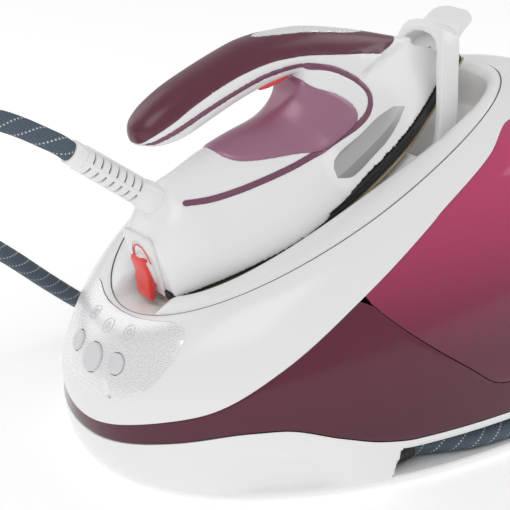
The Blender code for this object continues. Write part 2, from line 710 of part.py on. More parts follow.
def grip_loft(name, grow=0.0, reach=0.0):
    stations = [26, 30, 36, 46, 62, 85, 107, 131, 155, 176, 195, 212, 224, 233]
    rings = []
    for s in stations:
        half = hermite(GRIP_HALF, s) + grow
        rings.append(handle_section(s, hermite(PARTING, s) - grow, hermite(GRIP_TOP, s) + grow + reach, half))
    return loft(name, rings)


def under_loft(name, grow=0.0):
    stations = [27, 31, 38, 50, 70, 95, 115, 132, 150]
    rings = []
    for s in stations:
        half = hermite(GRIP_HALF, s) * 0.98 + grow
        rings.append(handle_section(s, hermite(PARTING, s) + 2, hermite(UNDER, s) - grow, half, 2.2))
    return loft(name, rings)


def iron_outside(name, grow=0.0):
    return join(iron_shell(name, grow), neck("neck", grow), under_loft("under", grow))


def side_region(name, points, width=160):
    """A block across X over an outline of (s, n) points."""
    return plate(name, points, width, lambda s, n, w: on_iron(s, w, n))


BOOT_BASE = (34, 46)
BOOT_END = (-9, 120)
TRIGGER_PIVOT = (139, 88)


def boot_axis():
    start = Vector(on_iron(BOOT_BASE[0], 0, BOOT_BASE[1]))
    end = Vector(on_iron(BOOT_END[0], 0, BOOT_END[1]))
    return start, (end - start).normalized(), (end - start).length


def make_iron_body():
    body = iron_outside("iron_body")
    cut(body, iron_shell("iron_room", -WALL, low=0, start=7, end=BODY_END_S - 5))
    cut(body, side_region("grip_room", [(20, 103)] + [(s, n - GAP) for s, n in PARTING] + [(252, 34), (262, 60),
                                                                                      (200, 140), (20, 140)]))
    cut(body, iron_box("handle_room", (60, -10, 92), (150, 10, 125)))
    cut(body, iron_box("trigger_window", (113, -8.6, 70), (144, 8.6, 99)))
    start, along, length = boot_axis()
    cut(body, rod("boot_hole", start - along * 30, start + along * 40, 11.6, 24),
        rod("collector_hole", on_iron(-10, 0, 21), on_iron(20, 0, 21), 11 + GAP, 28))
    keep(body, WHITE)


def make_saddle():
    pad = iron_outside("saddle", 1.7)
    outline_points = [(66, 74), (74, 58), (90, 46), (112, 36), (136, 27), (160, 25), (175, 30), (181, 42), (172, 56),
                      (156, 70), (140, 82.5), (120, 80), (96, 76)]
    within(pad, side_region("saddle_region", outline_points))
    cut(pad, iron_outside("saddle_under", GAP), iron_box("trigger_gate", (112, -9, 68), (145, 9, 99)))
    keep(pad, MAUVE)


def make_handle():
    grip = grip_loft("handle_grip")
    inlay_region = [(126 + 24 * math.cos(a) + 22, 8.8 * math.sin(a)) for a in (math.tau * k / 20 for k in range(20))]
    holder = plate("inlay_room", [(s, x * 1.04) for s, x in inlay_region], 50, lambda s, x, w: on_iron(s, x, 118 + w - (s - 148) * 0.5))
    depth = grip_loft("inlay_depth", -2.4)
    cut(holder, depth)
    cut(grip, holder)
    inlay = plate("top_inlay", [(148 + (s - 148) * 0.97, x * 0.98) for s, x in inlay_region], 50,
                  lambda s, x, w: on_iron(s, x, 118 + w - (s - 148) * 0.5))
    within(inlay, grip_loft("inlay_top", 0.0))
    cut(inlay, grip_loft("inlay_under", -2.0))
    keep(grip, BURGUNDY)
    keep(inlay, SILVER)
    trigger_side = [(118, 86), (119.5, 79.5), (123, 76.5), (132, 74.5), (141, 72.5), (142.6, 76), (142.6, 91), (118, 91)]
    trigger = side_region("steam_trigger", trigger_side, 15.6)
    pivot_low, pivot_high = on_iron(TRIGGER_PIVOT[0], -12, TRIGGER_PIVOT[1]), on_iron(TRIGGER_PIVOT[0], 12, TRIGGER_PIVOT[1])
    cut(trigger, rod("pivot_hole", pivot_low, pivot_high, 1.5 + GAP, 16))
    keep(trigger, RED)
    pin = rod("trigger_pin", on_iron(TRIGGER_PIVOT[0], -11.4, TRIGGER_PIVOT[1]), on_iron(TRIGGER_PIVOT[0], 11.4, TRIGGER_PIVOT[1]), 1.5, 16)
    keep(pin, STEEL)
    cut(objects["iron_body"], rod("pin_room", pivot_low, pivot_high, 1.5 + GAP, 16))
    switch = iron_box("trigger_switch", (102, -6, 94), (112, 6, 101))
    keep(switch, BLACK)


def make_iron_inside():
    sole = loft("soleplate", [sole_ring(0.0, 2.4), sole_ring(1.0, 0.4), sole_ring(SOLE_T, 0.0)])
    keep(sole, GOLD)
    block = loft("heater_block", [sole_ring(SOLE_T + GAP, 9, 8), sole_ring(24, 11, 8)])
    cut(block, iron_box("collector_room", (-20, -12.6, 9), (150, 12.6, 40)),
        iron_box("tip_room", (236, -60, -5), (300, 60, 60)))
    keep(block, CAST)
    shield = loft("heat_shield", [sole_ring(SOLE_T + GAP, 2.0, 3.4), sole_ring(SKIRT_N - GAP, 2.0, 3.4)])
    cut(shield, loft("shield_room", [sole_ring(0, 8.4, 8), sole_ring(30, 8.4, 8)]))
    cut(shield, iron_box("shield_gate", (-20, -15, 0), (30, 15, 40)))
    keep(shield, BLACK)
    tube_points = [(34, 0, 41), (60, 8, 40), (90, 8, 39), (112, 0, 38)]
    keep(tube("steam_tube", [on_iron(*p) for p in smooth_line(tube_points, 12)], 3.5), RUBBER)
    terminal = iron_box("terminal_block", (120, -14, 28), (146, 14, 44))
    keep(terminal, WHITE)


def make_heel():
    half, low, high = 21.0, 4.4, 45.0
    points = []
    for k in range(13):
        a = math.pi * k / 12
        points.append((half * math.cos(a), high - 16 + 16 * math.sin(a) ** 0.8))
    points = [(half, low)] + points + [(-half, low)]
    heel = plate("heel_plate", points, 2.6, lambda x, n, w: on_iron(1.6 + w, x, n))
    cut(heel, rod("heel_hole", on_iron(-10, 0, 21), on_iron(20, 0, 21), 11.6, 28))
    keep(heel, WHITE)
    collector = rod("scale_collector", on_iron(1.2, 0, 21), on_iron(112, 0, 21), 11, 24)
    join(collector, rod("collector_neck", on_iron(100, 0, 21), on_iron(128, 0, 21), 6, 20))
    keep(collector, WHITE)
    lever_side = [(-0.1, 33), (-3.4, 33), (-3.0, 20), (-6.0, 11), (-6.6, 3.8), (-3.6, 2.6), (-0.1, 12)]
    lever = side_region("collector_lever", lever_side, 15.5)
    keep(lever, RED)


def make_boot():
    start, along, length = boot_axis()
    profile = [(4, 9.5), (8, 11.2), (20, 11.2), (24, 10.6)]
    for k in range(7):
        at = 27 + 6.6 * k
        profile += [(at, 10.4 - 0.33 * k), (at + 1.6, 9.7 - 0.33 * k), (at + 3.0, 10.4 - 0.33 * k)]
    profile += [(length - 8, 8.2), (length - 4, 8.6), (length, 9.2)]
    boot = turned("hose_boot", start, along, profile, 24)
    cut(boot, rod("boot_bore", start + along * 14, start + along * (length + 5), HOSE_R + GAP, 24))
    keep(boot, WHITE)
    return start, along, length


# ------------------------------------------------------------------ lock hoop
def on_hoop(x, up, out):
    """A point of the hoop's plane: up along its lean, out square to it."""
    c, k = math.cos(HOOP_LEAN), math.sin(HOOP_LEAN)
    return (x, HOOP_PIVOT.y + up * k + out * c, HOOP_PIVOT.z + up * c - out * k)


def make_hoop():
    def arch(table):
        return table + [(-x, up) for x, up in reversed(table[:-1])]

    hoop = plate("lock_hoop", arch(HOOP_OUTER), HOOP_DEPTH, on_hoop)
    cut(hoop, plate("hoop_room", arch(HOOP_INNER), HOOP_DEPTH * 3, on_hoop))
    tab = [(-18, 89), (18, 89), (17.6, 99), (16, 101), (-16, 101), (-17.6, 99)]
    join(hoop, plate("tab", tab, 4.0, lambda x, u, w: on_hoop(x, u, w + (u - 89) * 0.8 + 1.0)))
    for side in (-1, 1):
        cut(hoop, rod("pin_hole", on_hoop(side * 30, 0, 0), on_hoop(side * 50, 0, 0), 2.5 + GAP, 16))
    keep(hoop, WHITE)
    keep(rod("lock_shaft", on_hoop(-48, 0, 0), on_hoop(48, 0, 0), 2.5, 20), STEEL)


def make_pads():
    """Heat-proof rests under the soleplate."""
    for name, s, x in (("rest_pad_front", 24, 0), ("rest_pad_left", 110, -38), ("rest_pad_right", 110, 38), ("rest_pad_rear", 178, 0)):
        keep(rod(name, on_iron(s, x, -4 + GAP), on_iron(s, x, -GAP), 7, 20), RUBBER)


# ------------------------------------------------------------------ hose
def smooth_line(points, count):
    """Points at equal spacing on a smooth curve through the given ones."""
    at = [Vector(p) for p in points]
    fine = []
    for i in range(len(at) - 1):
        p0 = at[max(i - 1, 0)]
        p1, p2 = at[i], at[i + 1]
        p3 = at[min(i + 2, len(at) - 1)]
        for k in range(12):
            u = k / 12
            fine.append(0.5 * ((2 * p1) + (p2 - p0) * u + (2 * p0 - 5 * p1 + 4 * p2 - p3) * u * u
                               + (3 * p1 - p0 - 3 * p2 + p3) * u ** 3))
    fine.append(at[-1])
    lengths = [0.0]
    for a, b in zip(fine, fine[1:]):
        lengths.append(lengths[-1] + (b - a).length)
    out = []
    j = 0
    for k in range(count + 1):
        want = lengths[-1] * k / count
        while j < len(lengths) - 2 and lengths[j + 1] < want:
            j += 1
        span = lengths[j + 1] - lengths[j]
        out.append(tuple(fine[j].lerp(fine[j + 1], (want - lengths[j]) / span if span else 0)))
    return out


HOSE_LIE_Z = 13.7
LOOP_MID = (-226, 20)
LOOP_R = 66
HOSE_START = [(116.5, -50.8, 14.9), (117.1, -43, 14.8), (123, -27, 14.3), (129.5, -7, 13.9), (132.5, 22, 14.2),
              (130, 62, 14), (121, 107, HOSE_LIE_Z), (104, 150, HOSE_LIE_Z), (80, 181, HOSE_LIE_Z),
              (46, 199, HOSE_LIE_Z), (0, 206, HOSE_LIE_Z), (-46, 199, HOSE_LIE_Z), (-80, 181, HOSE_LIE_Z),
              (-104, 150, HOSE_LIE_Z), (-120, 113, HOSE_LIE_Z), (-135, 80, 14), (-148, 56, 13.6), (-158, 34, 10)]
HOSE_RISE = [(-176, -58, 8), (-180, -88, 14), (-176, -118, 32), (-166, -152, 60), (-155, -186, 90), (-150, -220, 118),
             (-150, -258, 148), (-146, -300, 182), (-130, -334, 212), (-100, -350, 236), (-66, -342, 248), (-36, -308, 247), (-14, -262, 237)]


def hose_route():
    """The hose's centreline from the gland to the boot, with one stored loop beside the base."""
    loop = []
    for k in range(1, 16):
        a = 2 * math.pi * k / 16
        lift = 6.8 if k < 12 else 6.8 + 13.2 * math.sin(math.pi * (k - 11) / 6.2) ** 2
        loop.append((LOOP_MID[0] + LOOP_R * math.cos(a), LOOP_MID[1] - LOOP_R * math.sin(a) - (k - 8) * 1.2, lift))
    start, along, length = boot_axis()
    mouth = [tuple(start + along * (length + d)) for d in (14, 0, -12, -26)]
    return HOSE_START + loop + HOSE_RISE + mouth


def make_hose():
    keep(tube("steam_hose", smooth_line(hose_route(), 78), HOSE_R, 3), SLATE)


def main():
    make_base_pan()
    make_skirt()
    make_upper_shell()
    make_panel_and_buttons()
    make_deck()
    make_tank()
    make_boiler()
    make_pump()
    make_valve_and_pipes()
    make_board()
    make_fittings()
    make_iron_body()
    make_saddle()
    make_handle()
    make_iron_inside()
    make_heel()
    make_boot()
    make_hoop()
    make_pads()
    make_hose()
    for item in list(CUTTERS.objects):
        bpy.data.objects.remove(item, do_unlink=True)


main()
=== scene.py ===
"""A steam generator iron resting on its base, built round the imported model.

All shapes are given in millimetres, and put in the model in metres.
"""
import contextlib
import math

import bmesh
import bpy
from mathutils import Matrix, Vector, kdtree


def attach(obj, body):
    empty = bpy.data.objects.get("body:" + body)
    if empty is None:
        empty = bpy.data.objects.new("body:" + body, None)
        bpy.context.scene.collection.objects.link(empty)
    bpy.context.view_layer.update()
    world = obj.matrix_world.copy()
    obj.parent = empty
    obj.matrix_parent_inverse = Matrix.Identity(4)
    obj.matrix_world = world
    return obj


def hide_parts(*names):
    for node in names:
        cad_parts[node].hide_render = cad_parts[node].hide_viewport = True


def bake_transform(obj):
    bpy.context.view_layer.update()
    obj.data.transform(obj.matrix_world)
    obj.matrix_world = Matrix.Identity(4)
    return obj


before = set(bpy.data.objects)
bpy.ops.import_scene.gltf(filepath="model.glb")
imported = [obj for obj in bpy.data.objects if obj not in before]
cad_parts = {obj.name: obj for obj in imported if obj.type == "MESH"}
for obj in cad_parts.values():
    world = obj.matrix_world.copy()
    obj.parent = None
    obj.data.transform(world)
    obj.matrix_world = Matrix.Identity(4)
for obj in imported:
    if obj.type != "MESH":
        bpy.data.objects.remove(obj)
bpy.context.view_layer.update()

bl_info = {
    "name": "Steam generator iron",
    "version": (1, 0, 0),
    "blender": (4, 5, 0),
    "location": "View3D > Sidebar > Iron",
    "description": "Builds a steam generator iron, its base, hose and studio",
    "category": "Object",
}

MM = 0.001
TURN = 2 * math.pi
STATIONS = 240

# Outlines of the base seen from above: middle, reach to the front and rear, half width, exponents.
GROUND = dict(mid=28, front=235, rear=190, half=139, nose=2.15, tail=2.6)
BELT = dict(mid=28, front=247, rear=194, half=143, nose=2.15, tail=2.6)
RIM = dict(mid=-55.5, front=131, rear=169, half=90.5, nose=2.0, tail=1.8)
POCKET = dict(mid=-40, front=128, rear=138, half=62.5, nose=2.5, tail=2.3)
FOOT_Z = 4
BELT_Z = 50
RIM_TOP_Z = 218
RIM_DROP = 113
RIM_POWER = 1.4

# Edges between the base's mouldings, as heights over y.
WHITE_EDGE = [(-222, 36), (-217, 43), (-207, 50.5), (-177, 64), (-142, 87.5), (-88, 126),
              (-31, 160), (30, 188.5), (64, 203), (110, 207), (225, 207)]
PAN_EDGE = [(-222, 25), (-215, 32), (-192, 42.2), (-162, 50), (-145, 51), (-109, 41.5),
            (-84, 34.8), (-60, 32), (0, 32), (225, 32)]
TANK_EDGE = [(-88, 126), (-76, 113), (-52, 92.7), (-24, 72.5), (2, 55.5), (12, 54), (225, 54)]

# The iron rests heel first on a slope: s runs along the sole, n stands square on it.
HEEL = Vector((0, -165, 108))
TILT = math.radians(23.9)
SOLE_HALF = [(0, 22), (22, 34), (55, 49), (90, 57), (120, 56.5), (154, 52), (191, 43), (224, 29),
             (248, 17), (270, 6.5), (283, 0.6)]
SHELL_TOP = [(3, 46), (12, 52), (20, 58), (35, 65), (60, 67), (90, 65), (122, 61), (140, 65), (150, 77),
             (160, 83), (180, 73), (195, 63), (212, 54), (224, 49), (238, 42), (250, 34), (262, 22)]
PARTING = [(30, 99), (37.4, 102), (52, 103.4), (73, 105), (86, 105), (101, 104.2), (119, 101.3),
           (131.5, 98), (143, 93.5), (155.4, 87.5), (175, 75.9), (196, 63.8), (216, 52), (227, 47.2),
           (240, 42)]
GRIP_TOP = [(30, 104), (32, 108.5), (38, 112.5), (50, 116), (70, 118), (117, 116), (161, 102),
            (195, 81), (215, 66), (234, 51), (247, 42)]
GRIP_HALF = [(30, 4), (33, 10), (40, 14.5), (58, 17), (140, 17), (175, 15.5), (205, 12), (228, 7.5),
             (247, 2.5)]
GRIP_UNDER = [(30, 103), (33, 97), (42, 89.5), (64, 84), (95, 83.5), (122, 81.5), (140, 78), (160, 72)]
SADDLE_EDGE = [(76, 63), (76, 69), (96, 70), (118, 70.5), (128, 79), (137, 80.5), (146, 78), (148, 72),
               (152, 66), (161.4, 56.9), (167.5, 48), (170, 42), (169.5, 36.5), (164, 33.5),
               (154.7, 32.6), (142.7, 32.6), (133, 35), (125.8, 37.9), (116.6, 42.3), (99, 48.8),
               (85, 54.6), (78.5, 59)]
# The coloured line as (s, x, n): forward along the body, up the tower and back along the handle.
STRIPE_LINE = [(37.1, 19.8, 55.2), (50.7, 23.7, 49.6), (67.0, 28.9, 46.1), (85.0, 33.0, 43.3),
               (104.7, 34.9, 39.9), (118.8, 35.4, 38.1), (131.0, 34.5, 35.8), (148.2, 31.5, 33.2),
               (164.3, 30.9, 32.1), (175.6, 28.3, 32.5), (183.4, 25.1, 36.4), (186.2, 21.5, 43.5),
               (181.4, 18.4, 54.8), (170.6, 17.1, 68.3), (155.0, 15.8, 79.7), (138.4, 15.6, 87.4),
               (120.9, 15.5, 92.2), (99.6, 15.6, 94.6), (78.3, 15.6, 96.0), (57.2, 15.3, 96.8),
               (44, 13.2, 97.2), (36, 9, 97.6), (32.6, 0, 98)]

# Iron shells: their thickness, and how far their edges sink to leave a fine groove between neighbours.
SHELL_WALL = 1.2
GROOVE_DEPTH = 0.45

# Lock hoop.
HOOP_PIVOT = Vector((0, 36.6, 164.6))
HOOP_LEAN = math.radians(16.4)

# Control panel.
PANEL_HALF = [(0.0, 0.146), (0.172, 0.19), (0.322, 0.28), (0.422, 0.449), (0.473, 0.573), (0.498, 0.674),
              (0.475, 0.775), (0.40, 0.84), (0.22, 0.87), (0.0, 0.895)]
PANEL_MIDDLE = (0.0, 0.55)
# Each button's turn round the base, its v on the skin and its radius.
BUTTONS = {
    "power_button": (-0.155, 0.43, 6.7),
    "ok_button": (0.0, 0.404, 9.3),
    "steam_button": (0.155, 0.43, 6.7),
}
LID_MIDDLE = (math.pi, 0.5)

# Hose channel.
CHANNEL_DEPTH = 25
CHANNEL_TOP_Z = 28
SLOT_Y = -66

# Steam hose route, the same points as the solid's.
HOSE_R = 6.25
HOSE_LIE_Z = 13.7
STRAND_PITCH = 1.65
LOOP_MID = (-226, 20)
LOOP_R = 66
HOSE_START = [(116.5, -50.8, 14.9), (117.1, -43, 14.8), (123, -27, 14.3), (129.5, -7, 13.9),
              (132.5, 22, 14.2), (130, 62, 14), (121, 107, HOSE_LIE_Z), (104, 150, HOSE_LIE_Z),
              (80, 181, HOSE_LIE_Z), (46, 199, HOSE_LIE_Z), (0, 206, HOSE_LIE_Z),
              (-46, 199, HOSE_LIE_Z), (-80, 181, HOSE_LIE_Z), (-104, 150, HOSE_LIE_Z),
              (-120, 113, HOSE_LIE_Z), (-135, 80, 14), (-148, 56, 13.6), (-158, 34, 10)]
HOSE_RISE = [(-176, -58, 8), (-180, -88, 14), (-176, -118, 32), (-166, -152, 60), (-155, -186, 90),
             (-150, -220, 118), (-150, -258, 148), (-146, -300, 182), (-130, -334, 212),
             (-100, -350, 236), (-66, -342, 248), (-36, -308, 247), (-14, -262, 237)]
BOOT_BASE = (34, 46)
BOOT_END = (-9, 120)


# ------------------------------------------------------------------ settings
def length_setting(name, text, size):
    return bpy.props.FloatProperty(name=name, description=text, default=size * MM, min=0, precision=4,
                                   subtype="DISTANCE", unit="LENGTH")


def colour_setting(name, text, colour):
    return bpy.props.FloatVectorProperty(name=name, description=text, default=colour, size=3, min=0, max=1,
                                         subtype="COLOR")


class IronSizes(bpy.types.PropertyGroup):
    """Sizes shared by the mouldings"""
    wall: length_setting("Wall", "Thickness of the base's mouldings", 2.4)
    edge: length_setting("Edge rounding", "Radius on the mouldings' cut edges", 0.6)
    inset: length_setting("Step", "How far the coloured mouldings sit inside the white ones", 0.5)
    stripe: length_setting("Stripe", "Half width of the coloured line round the iron", 2.1)
    voxel: length_setting("Blend size", "Cell size used to melt the handle into the body", 1.4)


class IronColours(bpy.types.PropertyGroup):
    """Colours of the finishes"""
    white: colour_setting("White", "Glossy white mouldings", (0.79, 0.79, 0.80))
    burgundy: colour_setting("Burgundy", "Handle grip", (0.11, 0.014, 0.035))
    skirt: colour_setting("Skirt", "Lower band of the base", (0.12, 0.014, 0.033))
    # The tank's two colours are painted light and shade: lit at the top where light comes through, shaded
    # at its foot.
    tank_painted_light: colour_setting("Tank, upper", "Tank where light comes through", (0.52, 0.05, 0.15))
    tank_painted_shade: colour_setting("Tank, lower", "Tank near its foot", (0.12, 0.016, 0.038))
    stripe: colour_setting("Stripe", "Line round the iron", (0.20, 0.07, 0.13))
    saddle: colour_setting("Saddle", "Pearly pad under the handle", (0.36, 0.16, 0.25))
    hose: colour_setting("Hose", "Woven hose sleeve", (0.13, 0.18, 0.235))
    fleck: colour_setting("Hose fleck", "Pale threads in the sleeve", (0.72, 0.74, 0.74))
    sole: colour_setting("Sole", "Soleplate metal", (0.36, 0.27, 0.16))
    red: colour_setting("Red", "Trigger and lever", (0.72, 0.018, 0.010))


def sizes():
    return bpy.context.scene.iron_sizes


def tints():
    return bpy.context.scene.iron_colours


def in_mm(length):
    return length / MM


# ------------------------------------------------------------------ curves and surfaces in numbers
def smooth_value(table, at):
    """A smooth value through (position, value) pairs, level past both ends."""
    if at <= table[0][0]:
        return table[0][1]
    if at >= table[-1][0]:
        return table[-1][1]
    slopes = [(b[1] - a[1]) / (b[0] - a[0]) for a, b in zip(table, table[1:])]
    inner = [0 if p * q <= 0 else 2 * p * q / (p + q) for p, q in zip(slopes, slopes[1:])]
    tangents = [slopes[0]] + inner + [slopes[-1]]
    for i, (a, b) in enumerate(zip(table, table[1:])):
        if at <= b[0]:
            h = b[0] - a[0]
            u = (at - a[0]) / h
            rise = a[1] * (1 + 2 * u) * (1 - u) ** 2 + b[1] * u * u * (3 - 2 * u)
            return rise + h * (tangents[i] * u * (1 - u) ** 2 - tangents[i + 1] * u * u * (1 - u))
    return table[-1][1]


def ease(low, high, at):
    """0 below low, 1 above high, smooth between."""
    u = min(1, max(0, (at - low) / (high - low)))
    return u * u * (3 - 2 * u)


def mix(a, b, share):
    return a + (b - a) * share


def bowed(value, power):
    """A sine or cosine raised to a power, with its sign kept."""
    return math.copysign(abs(value) ** power, value)


def outline(form, t, inset=0.0):
    """A point of an outline: t is 0 at the front and a quarter turn at +X."""
    c, s = math.cos(t), math.sin(t)
    reach, power = (form["front"], form["nose"]) if c > 0 else (form["rear"], form["tail"])
    x = (form["half"] - inset) * bowed(s, 2 / power)
    y = form["mid"] - (reach - inset) * bowed(c, 2 / power)
    return x, y


def rim_z(y):
    back = RIM["mid"] + RIM["rear"]
    return RIM_TOP_Z - RIM_DROP * (max(0, back - y) / (RIM["front"] + RIM["rear"])) ** RIM_POWER


def skin(t, v, inset=0.0):
    """The base's outer surface: v is -1 at the ground, 0 at the belt and 1 at the rim."""
    bx, by = outline(BELT, t, inset)
    if v < 0:
        gx, gy = outline(GROUND, t, inset)
        w = 1 - math.sqrt(max(0, 1 - v * v))
        return bx + (gx - bx) * w, by + (gy - by) * w, BELT_Z + (BELT_Z - FOOT_Z) * v
    rx, ry = outline(RIM, t)
    c = math.cos(t)
    power = 2.1 - 0.5 * max(0, c) ** 2 + 0.7 * max(0, -c) ** 2
    across = math.cos(v * math.pi / 2) ** (2 / power) if v < 1 else 0
    up = math.sin(v * math.pi / 2) ** (2 / power) if v > 0 else 0
    top = rim_z(ry) - 0.8 * inset
    return rx + (bx - rx) * across, ry + (by - ry) * across, BELT_Z + (top - BELT_Z) * up


def skin_normal(t, v):
    du = Vector(skin(t + 0.01, v)) - Vector(skin(t - 0.01, v))
    dv = Vector(skin(t, v + 0.01)) - Vector(skin(t, v - 0.01))
    return du.cross(dv).normalized()


def level(t, height, inset=0.0):
    """The v where the skin at t crosses a height given by a function of y."""
    low, high = -1.0, 1.0
    for _ in range(26):
        mid = (low + high) / 2
        _, y, z = skin(t, mid, inset)
        low, high = (mid, high) if z < height(y) else (low, mid)
    return (low + high) / 2


def white_edge(y):
    return smooth_value(WHITE_EDGE, y)


def pan_edge(y):
    return smooth_value(PAN_EDGE, y)


def skirt_top(y):
    return smooth_value(TANK_EDGE, y) if y > TANK_EDGE[0][0] else white_edge(y)


def on_iron(s, x, n):
    c, k = math.cos(TILT), math.sin(TILT)
    return Vector((x, HEEL.y + s * c - n * k, HEEL.z + s * k + n * c))


def from_iron(point):
    """(s, x, n) of a point in millimetres."""
    c, k = math.cos(TILT), math.sin(TILT)
    y, z = point[1] - HEEL.y, point[2] - HEEL.z
    return y * c + z * k, point[0], -y * k + z * c


def on_hoop(x, up, out):
    c, k = math.cos(HOOP_LEAN), math.sin(HOOP_LEAN)
    return Vector((x, HOOP_PIVOT.y + up * k + out * c, HOOP_PIVOT.z + up * c - out * k))


def spaced(points, count):
    """Points at equal spacing on a smooth curve through the given ones."""
    at = [Vector(p) for p in points]
    fine = []
    for i in range(len(at) - 1):
        p0, p1, p2, p3 = at[max(i - 1, 0)], at[i], at[i + 1], at[min(i + 2, len(at) - 1)]
        for k in range(12):
            u = k / 12
            fine.append(0.5 * ((2 * p1) + (p2 - p0) * u + (2 * p0 - 5 * p1 + 4 * p2 - p3) * u * u
                               + (3 * p1 - p0 - 3 * p2 + p3) * u ** 3))
    fine.append(at[-1])
    run = [0.0]
    for a, b in zip(fine, fine[1:]):
        run.append(run[-1] + (b - a).length)
    out = []
    j = 0
    for k in range(count + 1):
        want = run[-1] * k / count
        while j < len(run) - 2 and run[j + 1] < want:
            j += 1
        span = run[j + 1] - run[j]
        out.append(fine[j].lerp(fine[j + 1], (want - run[j]) / span if span else 0))
    return out


def ring_of(points, count):
    """A smooth closed ring of 2-D points through the given corners."""
    loop = points + points[:3]
    line = spaced([(a * 100, b * 100, 0) for a, b in loop], 16 * (len(loop) - 1))
    ring = line[16:16 + 16 * len(points)]
    chosen = [ring[int(k * len(ring) / count)] for k in range(count)]
    return [(at.x / 100, at.y / 100) for at in chosen]


def squircle(middle, half_t, half_v, count, power=3.6):
    ring = []
    for k in range(count):
        a = TURN * k / count
        c, w = math.cos(a), math.sin(a)
        ring.append((middle[0] + half_t * bowed(c, 2 / power),
                     middle[1] + half_v * bowed(w, 2 / power)))
    return ring


def line_distance(at, line):
    """Distance from a 2-D point to a run of straight pieces."""
    best = 1e9
    px, py = at
    for (ax, ay), (bx, by) in zip(line, line[1:]):
        dx, dy = bx - ax, by - ay
        u = min(1, max(0, ((px - ax) * dx + (py - ay) * dy) / (dx * dx + dy * dy)))
        best = min(best, math.hypot(px - ax - u * dx, py - ay - u * dy))
    return best


def inside(at, corners):
    """Whether a 2-D point lies inside a closed outline."""
    px, py = at
    odd = False
    for (ax, ay), (bx, by) in zip(corners, corners[1:] + corners[:1]):
        if (ay > py) != (by > py) and px < (bx - ax) * (py - ay) / (by - ay) + ax:
            odd = not odd
    return odd


SADDLE_RING = ring_of(SADDLE_EDGE, 80)
STRIPE_TREE = kdtree.KDTree(701)
for place_on_line, mark in enumerate(spaced(STRIPE_LINE, 700)):
    STRIPE_TREE.insert(mark, place_on_line)
STRIPE_TREE.balance()


# ------------------------------------------------------------------ modelling tools
def pick(piece):
    """Selects one object only."""
    if bpy.context.object and bpy.context.object.mode != "OBJECT":
        bpy.ops.object.mode_set(mode="OBJECT")
    bpy.ops.object.select_all(action="DESELECT")
    piece.select_set(True)
    bpy.context.view_layer.objects.active = piece


@contextlib.contextmanager
def all_selected(piece):
    """Edit mode on one piece with the whole of it selected."""
    pick(piece)
    bpy.ops.object.mode_set(mode="EDIT")
    bpy.ops.mesh.select_all(action="SELECT")
    yield
    bpy.ops.object.mode_set(mode="OBJECT")


def apply_modifiers(piece):
    pick(piece)
    for step in list(piece.modifiers):
        bpy.ops.object.modifier_apply(modifier=step.name)


def weld(piece, outward=False):
    """Merges doubles, and turns a closed shape's faces outwards."""
    with all_selected(piece):
        bpy.ops.mesh.remove_doubles(threshold=2e-6)
        bpy.ops.mesh.dissolve_degenerate(threshold=1e-6)
        if outward:
            bpy.ops.mesh.select_all(action="SELECT")
            bpy.ops.mesh.normals_make_consistent(inside=False)


def grid(name, columns, rows, place, outward=False):
    """Adds a grid and puts its corner (i, j) at place(i, j)."""
    bpy.ops.object.select_all(action="DESELECT")
    bpy.ops.mesh.primitive_grid_add(x_subdivisions=columns, y_subdivisions=rows, size=1)
    piece = bpy.context.object
    piece.name = name
    piece.data.name = name
    for corner in piece.data.vertices:
        i = round((corner.co.x + 0.5) * columns)
        j = round((corner.co.y + 0.5) * rows)
        corner.co = Vector(place(i, j)) * MM
    weld(piece, outward)
    return piece


def flip_towards(piece, middle):
    """Turns an open sheet's faces away from a point."""
    middle = Vector(middle) * MM
    score = sum(p.normal.dot(p.center - middle) for p in piece.data.polygons)
    if score < 0:
        with all_selected(piece):
            bpy.ops.mesh.flip_normals()


def thicken(piece, wall, rounding=0.0, segments=2, offset=-1):
    step = piece.modifiers.new("wall", "SOLIDIFY")
    step.thickness = wall * MM
    step.offset = offset
    if rounding:
        soften(piece, rounding, segments, applied=False)
    apply_modifiers(piece)


def soften(piece, rounding, segments=3, angle=50, applied=True):
    edge = piece.modifiers.new("edge", "BEVEL")
    edge.width = rounding * MM
    edge.segments = segments
    edge.limit_method = "ANGLE"
    edge.angle_limit = math.radians(angle)
    if applied:
        apply_modifiers(piece)


def into_triangles(piece):
    with all_selected(piece):
        bpy.ops.mesh.quads_convert_to_tris()
        bpy.ops.mesh.remove_doubles(threshold=1e-7)


def cut(piece, tool):
    """Takes a closed tool out of a closed piece, both in triangles."""
    into_triangles(tool)
    into_triangles(piece)
    before = len(piece.data.polygons)
    step = piece.modifiers.new("cut", "BOOLEAN")
    step.operation = "DIFFERENCE"
    step.solver = "MANIFOLD"
    step.object = tool
    apply_modifiers(piece)
    bpy.data.objects.remove(tool, do_unlink=True)
    if len(piece.data.polygons) in (0, before):
        raise RuntimeError(piece.name + " was not cut")


def one_piece(name, pieces):
    pick(pieces[0])
    for other in pieces[1:]:
        other.select_set(True)
    if len(pieces) > 1:
        bpy.ops.object.join()
    pieces[0].name = name
    pieces[0].data.name = name
    return pieces[0]


def turned(name, start, axis, profile, sides=64):
    """A turned shape from (distance along the axis, radius) pairs, closed at both ends."""
    along = Vector(axis).normalized()
    side = along.orthogonal().normalized()
    other = along.cross(side)
    profile = [(profile[0][0], 0.0)] + list(profile) + [(profile[-1][0], 0.0)]

    def place(i, j):
        a = TURN * i / sides
        distance, radius = profile[j]
        return Vector(start) + along * distance + (side * math.cos(a) + other * math.sin(a)) * radius

    return grid(name, sides, len(profile) - 1, place, outward=True)


